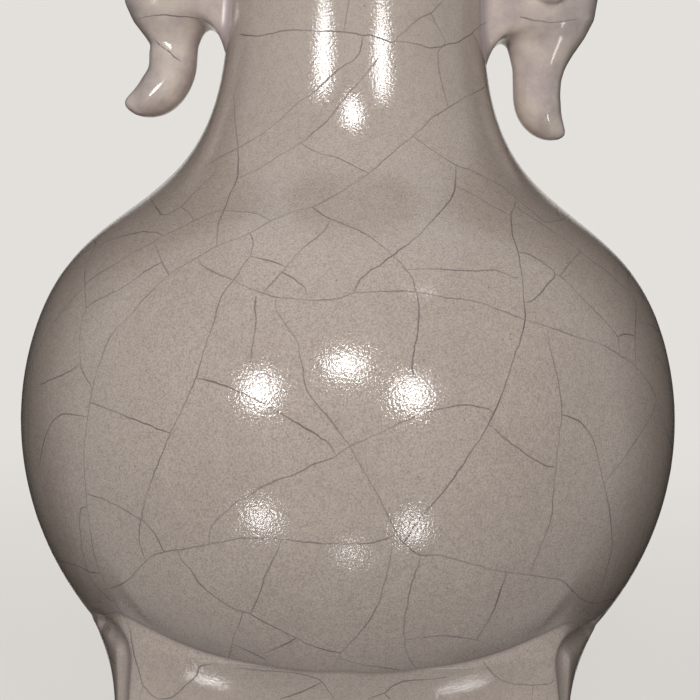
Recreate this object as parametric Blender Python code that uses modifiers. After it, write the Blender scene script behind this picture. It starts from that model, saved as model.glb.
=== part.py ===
"""A crackle-glazed stoneware vase with two elephant-head handles, modelled as the thrown and moulded
pieces that are luted together before glazing.

Metres, +Z up. The origin is the middle of the foot's underside, the handles lie along X and the
front faces -Y.
"""

from math import cos, hypot, pi, radians, sin, sqrt

import bmesh
import bpy
from mathutils import Vector

NAME = "twin_handled_vase"

# Body
EQUATOR_HEIGHT = 0.108  # widest part of the belly above the table
BELLY_RADIUS = 0.100
BELLY_RISE = 0.0944  # half height of the upper belly's ellipse
BELLY_DROP = 0.096  # half height of the lower belly's ellipse
SHOULDER_START = 0.0263  # where the shoulder's curve leaves the ellipse, above the equator
SHOULDER_PULL = 0.0497  # lower handle of the shoulder's curve
NECK_PULL = 0.070  # upper handle of the shoulder's curve
NECK_START = 0.1257  # where the neck turns straight, above the equator
NECK_RADIUS = 0.0394
NECK_JOINT = 0.092  # neck and shoulder are luted here, above the equator
NECK_LENGTH = 0.034  # straight stretch of the neck
MOUTH_RADIUS = 0.051
MOUTH_HEIGHT = 0.027  # height of the mouth's flare
BELLY_WALL = 0.005
NECK_WALL = 0.0045
FLOOR_DROP = 0.084  # underside of the belly's floor below the equator
FLOOR_THICKNESS = 0.006

# Luted joints
JOINT_GAP = 0.0003
COLLAR_WIDTH = 0.0025  # collar inside the belly's joint
COLLAR_RISE = 0.003
SPIGOT_DEPTH = 0.004  # the neck's spigot inside the shoulder
SPIGOT_WALL = 0.0032

# Foot: four lobes between four corners
LOBE_SEAM_DROP = 0.059  # where the middle of a lobe leaves the belly, below the equator
LOBE_WAIST_DROP = 0.0845
LOBE_WAIST_IN = 0.0098  # how far the lobe is drawn in at its waist
LOBE_FLARE = 0.006  # how far it spreads again at the table
LOBE_CURVE = 1.72
CORNER_SEAM_DROP = 0.0460
CORNER_WAIST_DROP = 0.064
CORNER_WAIST_IN = 0.0006
CORNER_FLARE = 0.0055
CORNER_CURVE = 2.0
CORNER_SOFTNESS = 0.004  # rounds the corners between the lobes
LOBE_BULGE = 1.73  # power of the lobe's plan
FOOT_WALL = 0.006

# Handles, measured outwards from the neck and upwards from the belly's equator
LEFT_ARCH_HEIGHT = 0.1190  # top of the gap between trunk and neck
RIGHT_ARCH_HEIGHT = 0.1166
LEFT_BEND_HEIGHT = 0.1088  # where the trunk starts to curl
RIGHT_BEND_HEIGHT = 0.1012
LEFT_CURL = radians(100)
RIGHT_CURL = radians(74)
LEFT_ROOT = 0.0080  # the head narrows into the trunk over this height below the gap's top
RIGHT_ROOT = 0.0115
TRUNK_REACH = 0.0167  # middle of the hanging trunk from the neck
TRUNK_BEND_RADIUS = 0.0128
TRUNK_RADIUS = 0.0067
TRUNK_SPREAD = 0.12  # share by which the trunk widens towards its root
TRUNK_TIP_LENGTH = 0.013  # the trunk tapers over this length
LEFT_HEAD_REACH = 0.0328  # furthest part of the head from the neck
RIGHT_HEAD_REACH = 0.0348
HEAD_HEIGHT = 0.036  # top of the head above the gap
HEAD_DEPTH = 0.0135  # half depth of the head along Y
EAR_THICKNESS = 0.002
EAR_REACH = 0.0164  # middle of the ear from the neck
EAR_RISE = 0.018  # middle of the ear above the gap
EAR_LENGTH = 0.013  # half sizes of the ear
EAR_WIDTH = 0.0105
EAR_NARROWING = 0.22  # share by which the ear's lower end is narrower
EAR_LEAN = 0.0026  # how far the ear's lower end stands out from its upper one

# Mesh fineness
TURNING_STEPS = 56
LOBE_STEPS = 16
HANDLE_SIDES = 20


def srgb(code):
    """A colour code as linear red, green, blue and alpha."""
    parts = [int(code[i:i + 2], 16) / 255 for i in (1, 3, 5)]
    return [c / 12.92 if c <= 0.04045 else ((c + 0.055) / 1.055) ** 2.4 for c in parts] + [1.0]


def material(name, code, roughness):
    made = bpy.data.materials.new(name)
    made.use_nodes = True
    shader = made.node_tree.nodes["Principled BSDF"]
    shader.inputs["Base Color"].default_value = srgb(code)
    shader.inputs["Roughness"].default_value = roughness
    shader.inputs["Metallic"].default_value = 0.0
    return made


def clear_scene():
    for thing in list(bpy.data.objects):
        bpy.data.objects.remove(thing)


def collection(name):
    made = bpy.data.collections.new(name)
    bpy.context.scene.collection.children.link(made)
    return made


def mesh_object(name, verts, faces, home, edges=()):
    mesh = bpy.data.meshes.new(name)
    mesh.from_pydata(verts, edges, faces)
    mesh.update()
    made = bpy.data.objects.new(name, mesh)
    home.objects.link(made)
    return made


def smooth(thing, angle=40):
    thing.data.shade_smooth()
    thing.data.set_sharp_from_angle(angle=radians(angle))


def as_cutter(thing):
    thing.hide_render = True
    thing.display_type = "WIRE"
    return thing


def arc(middle, radius, start, end, steps):
    """Points on a circle from one angle to another, both ends included."""
    return [(middle[0] + radius * cos(start + (end - start) * i / steps),
             middle[1] + radius * sin(start + (end - start) * i / steps)) for i in range(steps + 1)]


def bezier(a, b, c, d, t):
    u = 1 - t
    return tuple(u ** 3 * a[i] + 3 * u * u * t * b[i] + 3 * u * t * t * c[i] + t ** 3 * d[i]
                 for i in (0, 1))


def offset(points, distance):
    """An outline, running downwards, moved towards the axis by a wall's thickness."""
    moved = []
    for i, (r, z) in enumerate(points):
        before = points[max(i - 1, 0)]
        after = points[min(i + 1, len(points) - 1)]
        dr, dz = after[0] - before[0], after[1] - before[1]
        length = hypot(dr, dz)
        moved.append((r + dz / length * distance, z - dr / length * distance))
    return moved


def lower_belly_radius(height):
    drop = EQUATOR_HEIGHT - height
    return BELLY_RADIUS * sqrt(max(0.0, 1 - (drop / BELLY_DROP) ** 2))


def lower_belly_outline(steps, bottom):
    """The lower belly's ellipse from the equator down to a height."""
    points = []
    for i in range(steps + 1):
        height = EQUATOR_HEIGHT - (EQUATOR_HEIGHT - bottom) * sin(pi / 2 * i / steps)
        points.append((lower_belly_radius(height), height))
    return points


def upper_outline():
    """The outside from the neck's straight stretch down over the shoulder to the equator."""
    start = SHOULDER_START
    radius = BELLY_RADIUS * sqrt(1 - (start / BELLY_RISE) ** 2)
    lean = (BELLY_RADIUS / BELLY_RISE) ** 2 * start / radius
    length = hypot(lean, 1)
    low = (radius, EQUATOR_HEIGHT + start)
    low_pull = (radius - lean / length * SHOULDER_PULL,
                EQUATOR_HEIGHT + start + SHOULDER_PULL / length)
    high = (NECK_RADIUS, EQUATOR_HEIGHT + NECK_START)
    high_pull = (NECK_RADIUS, EQUATOR_HEIGHT + NECK_START - NECK_PULL)
    points = [bezier(high, high_pull, low_pull, low, i / 17) for i in range(18)]
    for i in range(1, 6):
        rise = start * (1 - i / 5)
        points.append((BELLY_RADIUS * sqrt(1 - (rise / BELLY_RISE) ** 2), EQUATOR_HEIGHT + rise))
    return points


def split_outline(points, height):
    """The parts of a falling outline above and below a height, and its radius there."""
    above = [p for p in points if p[1] > height + JOINT_GAP]
    below = [p for p in points if p[1] < height - JOINT_GAP]
    (r0, z0), (r1, z1) = above[-1], below[0]
    radius = r0 + (r1 - r0) * (z0 - height) / (z0 - z1)
    return above, below, radius


def turned(name, outline, home, closed=True):
    """An outline in X and Z, down its outer side and up its inner one, turned round Z."""
    verts = [(r, 0.0, z) for r, z in outline]
    count = len(verts)
    edges = [(i, (i + 1) % count) for i in range(count if closed else count - 1)]
    made = mesh_object(name, verts, [], home, edges)
    screw = made.modifiers.new("turning", "SCREW")
    screw.axis = "Z"
    screw.angle = 2 * pi
    screw.steps = TURNING_STEPS
    screw.render_steps = TURNING_STEPS
    screw.use_merge_vertices = True
    screw.merge_threshold = 0.00001
    screw.use_smooth_shade = True
    return made


def lower_belly(home):
    """The bowl under the equator, with the belly's floor and the collar inside the joint."""
    face = EQUATOR_HEIGHT - JOINT_GAP / 2
    bottom = EQUATOR_HEIGHT - FLOOR_DROP
    outer = [(BELLY_RADIUS, face)] + lower_belly_outline(12, bottom)[1:]
    collar_outer = BELLY_RADIUS - BELLY_WALL - JOINT_GAP
    collar_inner = collar_outer - COLLAR_WIDTH
    collar = [(collar_inner, EQUATOR_HEIGHT + COLLAR_RISE),
              (collar_outer, EQUATOR_HEIGHT + COLLAR_RISE),
              (collar_outer, face)]
    floor = bottom + FLOOR_THICKNESS
    inner = [p for p in offset(lower_belly_outline(9, bottom), BELLY_WALL)
             if p[1] > floor + BELLY_WALL / 2 and p[1] < EQUATOR_HEIGHT - 2 * COLLAR_RISE]
    last = inner[-1][0] - BELLY_WALL
    bowl = [(0.0, floor), (last / 2, floor), (last, floor)] + inner[::-1]
    bowl.append((collar_inner, EQUATOR_HEIGHT - COLLAR_RISE))
    return turned("lower_belly", bowl + collar + outer + [(0.0, bottom)], home, closed=False)


def upper_belly(home):
    """The bowl above the equator and its shoulder, up to the neck's joint."""
    joint = EQUATOR_HEIGHT + NECK_JOINT
    _, below, radius = split_outline(upper_outline(), joint)
    top = joint - JOINT_GAP / 2
    bottom = EQUATOR_HEIGHT + JOINT_GAP / 2
    outer = [(radius, top)] + below[:-1] + [(BELLY_RADIUS, bottom)]
    inner = offset(outer, BELLY_WALL)[1:-1:2]
    first = shoulder_opening()
    rim = [(first, top), (first, top - SPIGOT_DEPTH)]
    inner = [p for p in inner if p[1] < top - 2 * SPIGOT_DEPTH]
    foot = [(BELLY_RADIUS - BELLY_WALL, bottom)]
    return turned("upper_belly", outer + (rim + inner + foot)[::-1], home)


def shoulder_opening():
    """The inner radius of the shoulder's top, where the neck's spigot enters."""
    radius = split_outline(upper_outline(), EQUATOR_HEIGHT + NECK_JOINT)[2]
    return radius - BELLY_WALL


def mouth_flare(steps):
    """The outside of the mouth from its lip down to the straight neck."""
    out = MOUTH_RADIUS - NECK_RADIUS
    sweep = (MOUTH_HEIGHT ** 2 + out ** 2) / (2 * out)
    base = EQUATOR_HEIGHT + NECK_START + NECK_LENGTH
    points = []
    for i in range(steps + 1):
        rise = MOUTH_HEIGHT * (1 - i / steps)
        points.append((NECK_RADIUS + sweep - sqrt(sweep ** 2 - rise ** 2), base + rise))
    return points


def neck(home):
    """The neck and its spread mouth, thrown in one, with a spigot that enters the shoulder."""
    joint = EQUATOR_HEIGHT + NECK_JOINT
    above, _, radius = split_outline(upper_outline(), joint)
    flare = mouth_flare(7)
    side = flare + above + [(radius, joint + JOINT_GAP / 2)]
    inside = offset(side, NECK_WALL)
    lip = lip_round(side[0], inside[0])
    spigot = shoulder_opening() - JOINT_GAP
    foot = [(spigot, joint + JOINT_GAP / 2), (spigot, joint - SPIGOT_DEPTH),
            (spigot - SPIGOT_WALL, joint - SPIGOT_DEPTH)]
    inside = [p for p in inside[1:] if p[1] > joint + SPIGOT_DEPTH][::2]
    return turned("neck", lip + side[1:] + foot + inside[::-1], home)


def lip_round(outer, inner):
    """A half round between the outer and the inner edge of the mouth, from inner to outer."""
    middle = ((outer[0] + inner[0]) / 2, (outer[1] + inner[1]) / 2)
    radius = hypot(outer[0] - inner[0], outer[1] - inner[1]) / 2
    lean = Vector((outer[0] - inner[0], outer[1] - inner[1])).angle_signed(Vector((1, 0)))
    return arc(middle, radius, pi + lean, lean, 6)


def draw_in(height, seam_drop, waist_drop, waist_in, flare, curve):
    """How far the foot's wall lies inside its seam at a height."""
    drop = EQUATOR_HEIGHT - height
    if drop < waist_drop:
        part = min(1.0, (waist_drop - drop) / (waist_drop - seam_drop))
        return waist_in * (1 - part ** curve)
    part = (drop - waist_drop) / (EQUATOR_HEIGHT - waist_drop)
    return waist_in - flare * part ** 2


def foot_radius(azimuth, height):
    """The foot's outer radius at an angle from the middle of a lobe: two lobes meet in a soft corner."""
    lobe = lower_belly_radius(EQUATOR_HEIGHT - LOBE_SEAM_DROP) - draw_in(
        height, LOBE_SEAM_DROP, LOBE_WAIST_DROP, LOBE_WAIST_IN, LOBE_FLARE, LOBE_CURVE)
    corner = lower_belly_radius(EQUATOR_HEIGHT - CORNER_SEAM_DROP) - draw_in(
        height, CORNER_SEAM_DROP, CORNER_WAIST_DROP, CORNER_WAIST_IN, CORNER_FLARE, CORNER_CURVE)
    half = corner / sqrt(2)
    across, deep = abs(sin(azimuth)), cos(azimuth)
    low, high = lobe / 2, 2 * lobe
    for _ in range(36):
        radius = (low + high) / 2
        front = radius * deep - lobe + (lobe - half) * (radius * across / half) ** LOBE_BULGE
        side = radius * across - lobe + (lobe - half) * (radius * deep / half) ** LOBE_BULGE
        if (front + side + hypot(front - side, CORNER_SOFTNESS)) / 2 < 0:
            low = radius
        else:
            high = radius
    return low


def seat_height(azimuth, inset):
    """Where a stretch of the foot's wall meets the belly, with the joint's gap."""
    low, high = EQUATOR_HEIGHT - FLOOR_DROP, EQUATOR_HEIGHT - CORNER_SEAM_DROP / 2
    for _ in range(30):
        middle = (low + high) / 2
        if foot_radius(azimuth, middle) - inset > seat_radius(middle):
            low = middle
        else:
            high = middle
    return low


def seat_radius(height):
    """The belly's radius with the joint's gap left outside it, square to the surface."""
    radius = lower_belly_radius(height)
    drop = EQUATOR_HEIGHT - height
    slope = (BELLY_RADIUS / BELLY_DROP) ** 2 * drop / radius
    return radius + JOINT_GAP * hypot(slope, 1)


def foot_column(azimuth):
    """One vertical section of the foot's wall, from its outer seam round to its inner one."""
    outer_top = seat_height(azimuth, 0.0)
    inner_top = seat_height(azimuth, FOOT_WALL)
    column = []
    for i in range(9):
        height = outer_top * (1 - i / 8)
        column.append((foot_radius(azimuth, height), height))
    for i in range(6):
        height = inner_top * i / 5
        column.append((foot_radius(azimuth, height) - FOOT_WALL, height))
    for i in (1, 2):
        height = inner_top + (outer_top - inner_top) * i / 3
        column.append((seat_radius(height), height))
    return column


def foot(home):
    """The four-lobed foot ring: hollow, waisted, and seated against the belly's underside."""
    quarter = [pi / 4 * sin(pi / 2 * (2 * i / LOBE_STEPS - 1)) for i in range(LOBE_STEPS)]
    sections = [foot_column(azimuth) for azimuth in quarter]
    verts = []
    for turn in range(4):
        for azimuth, section in zip(quarter, sections):
            angle = azimuth + turn * pi / 2
            verts += [(r * sin(angle), -r * cos(angle), z) for r, z in section]
    rows = len(sections[0])
    columns = 4 * LOBE_STEPS
    faces = [(c * rows + r, c * rows + (r + 1) % rows,
              (c + 1) % columns * rows + (r + 1) % rows, (c + 1) % columns * rows + r)
             for c in range(columns) for r in range(rows)]
    made = mesh_object("lobed_foot", verts, faces, home)
    smooth(made, 35)
    return made


def trunk_stations(arch, root, bend, curl):
    """The hanging trunk from its root to its tip: inner point, outer point and half depth."""
    middle = NECK_RADIUS + TRUNK_REACH
    turn = EQUATOR_HEIGHT + bend
    straight = EQUATOR_HEIGHT + arch - root - turn
    length = straight + TRUNK_BEND_RADIUS * curl
    stations = []
    steps = 14
    for i in range(steps):
        along = length * sin(pi / 2 * i / steps)
        blunt = sin(pi / 2 * min(1.0, (length - along) / TRUNK_TIP_LENGTH)) ** 0.6
        radius = TRUNK_RADIUS * blunt * (1 + TRUNK_SPREAD * (1 - along / length))
        angle = max(0.0, (along - straight) / TRUNK_BEND_RADIUS)
        r = middle + TRUNK_BEND_RADIUS * (1 - cos(angle))
        z = turn + max(0.0, straight - along) - TRUNK_BEND_RADIUS * sin(angle)
        lean = Vector((cos(angle), 0, sin(angle))) * radius
        stations.append((Vector((r, 0, z)) - lean, Vector((r, 0, z)) + lean, radius))
    tip = Vector((middle + TRUNK_BEND_RADIUS * (1 - cos(curl)), 0, turn - TRUNK_BEND_RADIUS * sin(curl)))
    return stations, tip


def head_stations(arch, root, reach):
    """The head from inside the neck outwards and down to the trunk's root, fanning round the gap."""
    base = EQUATOR_HEIGHT + arch
    trunk = TRUNK_REACH - TRUNK_RADIUS * (1 + TRUNK_SPREAD)
    inner = [(-0.0050, -0.0105), (-0.0020, -0.0080), (0.0004, -0.0048), (0.0013, -0.0021),
             (0.0030, -0.0005), (0.0051, 0.0), (0.0071, -0.0012), (trunk - 0.0010, -root * 0.42),
             (trunk - 0.0002, -root * 0.70)]
    outer = [(0.02, 0.94), (0.30, 1.00), (0.66, 0.92), (0.90, 0.70), (1.00, 0.40), (0.97, 0.20),
             (0.89, 0.045), (0.78, -0.08), (0.725, -0.15)]
    depth = [0.80, 0.92, 1.00, 1.00, 0.96, 0.86, 0.72, 0.60, 0.53]
    stations = []
    for (ir, iz), (share_r, share_z), share in zip(inner, outer, depth):
        drop = share_z * HEAD_HEIGHT if share_z > 0 else share_z * root / LEFT_ROOT * HEAD_HEIGHT
        stations.append((Vector((NECK_RADIUS + ir, 0, base + iz)),
                         Vector((NECK_RADIUS + reach * share_r, 0, base + drop)),
                         HEAD_DEPTH * share))
    return stations


def loft(name, stations, tip, growth, home):
    """A closed skin over oval sections, grown by an even thickness, closed by a point at its tip."""
    verts, faces = [], []
    for inner, outer, depth in stations:
        middle, half = (inner + outer) / 2, (outer - inner) / 2
        half = half.normalized() * (half.length + growth)
        for k in range(HANDLE_SIDES):
            angle = 2 * pi * k / HANDLE_SIDES
            verts.append(middle + half * cos(angle) + Vector((0, (depth + growth) * sin(angle), 0)))
    for s in range(len(stations) - 1):
        for k in range(HANDLE_SIDES):
            n = (k + 1) % HANDLE_SIDES
            a, b = s * HANDLE_SIDES, (s + 1) * HANDLE_SIDES
            faces.append((a + k, a + n, b + n, b + k))
    faces.append(tuple(range(HANDLE_SIDES))[::-1])
    last = (len(stations) - 1) * HANDLE_SIDES
    verts.append(tip)
    faces += [(last + k, last + (k + 1) % HANDLE_SIDES, len(verts) - 1) for k in range(HANDLE_SIDES)]
    made = mesh_object(name, verts, faces, home)
    bm = bmesh.new()
    bm.from_mesh(made.data)
    bmesh.ops.recalc_face_normals(bm, faces=bm.faces)
    bm.to_mesh(made.data)
    bm.free()
    return made


def cut(thing, cutter, operation="DIFFERENCE"):
    step = thing.modifiers.new(operation.lower(), "BOOLEAN")
    step.operation = operation
    step.object = cutter


def neck_cutter(home):
    """The neck's outside with the joint's gap round it."""
    radius = NECK_RADIUS + JOINT_GAP
    side = [(r + JOINT_GAP, z) for r, z in upper_outline()]
    top = EQUATOR_HEIGHT + NECK_START + NECK_LENGTH
    outline = [(0.0, top + MOUTH_HEIGHT), (radius, top + MOUTH_HEIGHT)] + side[:12]
    outline.append((0.0, side[11][1]))
    return as_cutter(turned("neck_cutter", outline, home, closed=False))


def handle(side, facing, arch, root, reach, bend, curl, cutter, home, tools):
    """One elephant head with its hanging trunk, and an ear on each cheek, turned to face outwards."""
    seat = bpy.data.objects.new(f"{side}_handle_seat", None)
    home.objects.link(seat)
    seat.rotation_euler.z = facing
    trunk, tip = trunk_stations(arch, root, bend, curl)
    stations = head_stations(arch, root, reach) + trunk
    made = loft(f"{side}_handle", stations, tip, 0.0, home)
    cut(made, cutter)
    smooth(made)
    room = as_cutter(loft(f"{side}_ear_room", stations, tip, JOINT_GAP, tools))
    made.parent = room.parent = seat
    pieces = [made]
    for cheek, sign in (("front", -cos(facing)), ("back", cos(facing))):
        name = f"{side}_{cheek}_ear"
        leaf = as_cutter(ear_leaf(f"{name}_leaf", arch, sign, tools))
        pad = loft(name, stations, tip, JOINT_GAP + EAR_THICKNESS, home)
        pad.parent = leaf.parent = seat
        cut(pad, leaf, "INTERSECT")
        cut(pad, room)
        cut(pad, cutter)
        smooth(pad)
        pieces.append(pad)
    return pieces


def ear_leaf(name, arch, sign, tools):
    """The ear's outline, an egg with its narrow end down and outwards, as a block along Y."""
    mesh = bpy.data.meshes.new(name)
    bm = bmesh.new()
    bmesh.ops.create_cone(bm, cap_ends=True, segments=26, radius1=1, radius2=1, depth=1)
    reach = HEAD_DEPTH + 3 * EAR_THICKNESS
    start = HEAD_DEPTH / 3
    middle = Vector((NECK_RADIUS + EAR_REACH, 0, EQUATOR_HEIGHT + arch + EAR_RISE))
    for vert in bm.verts:
        x, y, z = vert.co
        narrow = 1 - EAR_NARROWING * (1 - y) / 2
        vert.co = middle + Vector((x * EAR_WIDTH * narrow - y * EAR_LEAN, 0, y * EAR_LENGTH))
        vert.co.y = sign * (start + (z + 0.5) * (reach - start))
    if bm.calc_volume(signed=True) < 0:
        bmesh.ops.reverse_faces(bm, faces=bm.faces)
    bm.to_mesh(mesh)
    bm.free()
    made = bpy.data.objects.new(name, mesh)
    tools.objects.link(made)
    return made


def build():
    clear_scene()
    home = collection(NAME)
    tools = collection("cutters")
    glaze = "#AC9F95"
    pieces = {
        lower_belly(home): ("lower_belly_glaze", glaze, 0.22),
        upper_belly(home): ("upper_belly_glaze", glaze, 0.22),
        neck(home): ("neck_glaze", glaze, 0.20),
        foot(home): ("foot_glaze", "#A3968B", 0.26),
    }
    cutter = neck_cutter(tools)
    left = handle("left", pi, LEFT_ARCH_HEIGHT, LEFT_ROOT, LEFT_HEAD_REACH, LEFT_BEND_HEIGHT,
                  LEFT_CURL, cutter, home, tools)
    right = handle("right", 0.0, RIGHT_ARCH_HEIGHT, RIGHT_ROOT, RIGHT_HEAD_REACH, RIGHT_BEND_HEIGHT,
                   RIGHT_CURL, cutter, home, tools)
    for thing in left + right:
        pieces[thing] = (f"{thing.name}_glaze", "#B2A59B", 0.16)
    for thing, (name, code, roughness) in pieces.items():
        thing.data.materials.append(material(name, code, roughness))


build()
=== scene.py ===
from math import cos, hypot, pi, radians, sin, sqrt, tan
from random import Random

import bmesh
import bpy
import numpy as np
from mathutils import Matrix, Vector
from mathutils.bvhtree import BVHTree
from mathutils.kdtree import KDTree


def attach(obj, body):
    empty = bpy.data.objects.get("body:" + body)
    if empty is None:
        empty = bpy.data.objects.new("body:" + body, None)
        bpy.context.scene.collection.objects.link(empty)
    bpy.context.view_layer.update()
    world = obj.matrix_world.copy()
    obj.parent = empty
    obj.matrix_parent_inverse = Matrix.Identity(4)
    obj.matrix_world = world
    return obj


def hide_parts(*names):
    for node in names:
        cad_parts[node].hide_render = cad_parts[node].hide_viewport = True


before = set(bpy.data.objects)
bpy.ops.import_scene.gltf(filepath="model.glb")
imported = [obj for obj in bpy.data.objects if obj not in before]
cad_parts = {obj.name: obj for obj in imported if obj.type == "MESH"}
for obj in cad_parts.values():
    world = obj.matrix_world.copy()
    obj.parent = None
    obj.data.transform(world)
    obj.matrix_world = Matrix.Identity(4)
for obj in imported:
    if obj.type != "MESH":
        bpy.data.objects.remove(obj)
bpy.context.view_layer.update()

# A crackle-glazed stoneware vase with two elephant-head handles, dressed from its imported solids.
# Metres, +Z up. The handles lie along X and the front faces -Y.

# The body's sizes, as the solids have them
EQUATOR = 0.108
BELLY_RADIUS = 0.100
BELLY_RISE = 0.0944
BELLY_DROP = 0.096
SHOULDER_START = 0.0263
SHOULDER_PULL = 0.0497
NECK_PULL = 0.070
NECK_START = 0.1257
NECK_RADIUS = 0.0394
NECK_LENGTH = 0.034
MOUTH_RADIUS = 0.051
MOUTH_HEIGHT = 0.027
BELLY_WALL = 0.005
NECK_WALL = 0.0045
WALL_THINS = EQUATOR + 0.06  # from here up to the neck
FLOOR_DROP = 0.084
FLOOR_THICKNESS = 0.006
FLOOR_CURVE = 0.0012  # the floor's inside rises this much to the wall
UNDERSIDE = EQUATOR - FLOOR_DROP
VASE_FLOOR = UNDERSIDE + FLOOR_THICKNESS
LOWEST_INSIDE = 0.032

# The foot's sizes
LOBE_SEAM_DROP = 0.059
LOBE_WAIST_DROP = 0.0845
LOBE_WAIST_IN = 0.0098
LOBE_FLARE = 0.006
LOBE_CURVE = 1.72
CORNER_SEAM_DROP = 0.0460
CORNER_WAIST_DROP = 0.064
CORNER_WAIST_IN = 0.0006
CORNER_FLARE = 0.0055
CORNER_CURVE = 2.0
CORNER_SOFTNESS = 0.004
LOBE_BULGE = 1.73
FOOT_WALL = 0.006
EDGE_RISE = 0.0012  # the rounding of the standing edge
EDGE_IN = 0.0010
UNDER_GAP = 0.0004  # the belly's underside lies this far inside the foot's skin
SEAM_GLAZE = 0.0001  # glaze that fills the crease under the belly
CORNER_GLAZE = 0.0032  # the belly runs into the corner in a soft curve
CORNER_MIDDLE = radians(48)  # middle of that soft stretch, from the front
CORNER_HALF = radians(9)
CORNER_FADES = 0.35, 1.35  # in that half angle, where the soft curve starts to end and has ended
CREASE_REACH = 2.2  # in widths of the glaze in the crease
CREASE_BACK = 0.55  # the share of its fill that the crease gives back
FOOT_HALVINGS, SEAM_HALVINGS = 34, 30
GROOVE_DEPTH = 0.0020  # the groove at the ends of the two side lobes
GROOVE_WIDTH = 0.0025
GROOVE_STEP = 0.0008
NECK_SKIN_END = EQUATOR + 0.080  # where the neck's glaze skin meets the shoulder's
JOINT_LIFT = 0.0002

# The handles' sizes
ARCH = {"left": 0.1190, "right": 0.1166}
BEND = {"left": 0.1088, "right": 0.1012}
CURL = {"left": radians(100), "right": radians(74)}
ROOT = {"left": 0.0080, "right": 0.0115}
HEAD_REACH = {"left": 0.0328, "right": 0.0348}
FACING = {"left": -1, "right": 1}
TRUNK_REACH = 0.0167
TRUNK_BEND_RADIUS = 0.0128
TRUNK_RADIUS = 0.0067
TRUNK_SPREAD = 0.12
TRUNK_TIP_LENGTH = 0.013
TRUNK_BLUNTNESS = 0.6
TRUNK_DEPTH, TRUNK_SWELL, TRUNK_SWELL_END = 0.94, 0.16, 1.15  # shares of its radius and length
TRUNK_STATIONS = 26
HEAD_HEIGHT = 0.036
HEAD_DEPTH = 0.0135
EAR_REACH = 0.0164
EAR_RISE = 0.0222
EAR_LENGTH = 0.0122
EAR_WIDTH = 0.0110
EAR_THICKNESS = 0.0026
EAR_LEAN = 0.0026
EAR_FREE = 0.0011  # the lower end stands off the cheek
EAR_SUNK = 0.0030  # the ear's back lies this deep in the cheek
EAR_RIM = 0.0025
EAR_RINGS, EAR_SIDES = 7, 40
EYE_REACH, EYE_RISE = 0.84, 0.46  # as shares of the head's reach and height
EYE_SIZE = (0.0017, 0.0015, 0.0014)
EYE_SUNK = 0.0006
BROW_SIZE = (0.0036, 0.0019, 0.0011)
BROW_IN, BROW_SUNK, BROW_RISE = 0.0003, 0.0014, 0.0026
BROW_LEAN = radians(24)
HANDLE_VOXEL = 0.00062
HANDLE_SMOOTHINGS = 7
FILLET = 0.0032  # slip and glaze between a handle and the neck
ROOT_SUNK = 0.0006  # the handle's root ends this deep in the neck's wall
# How far out from the neck the handle gets painted shade and pooled glaze
ROOT_SHADE_AND_POOL = 0.004

# The camera, fitted to the photograph
PICTURE = 700  # the photograph's width and height in pixels
FOCUS = 1526  # the eye's distance from the picture, in its pixels
SENSOR = 36  # millimetres
BELLY_PIXELS = 320.6  # from the vase's axis to the belly's edge
AIM_PIXELS = 66.6  # from the belly's middle up to the point aimed at
SEARCH_PIXELS = 14  # how far in from the silhouette the skin is looked for
PIXEL = BELLY_RADIUS / BELLY_PIXELS
CAMERA_DISTANCE = FOCUS * PIXEL
CAMERA_RISE = radians(3.4)
CAMERA_ROLL = radians(1.2)
CAMERA_SHIFT = 0.7 / PICTURE
AIM = Vector((0, 0, EQUATOR + AIM_PIXELS * PIXEL))
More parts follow.
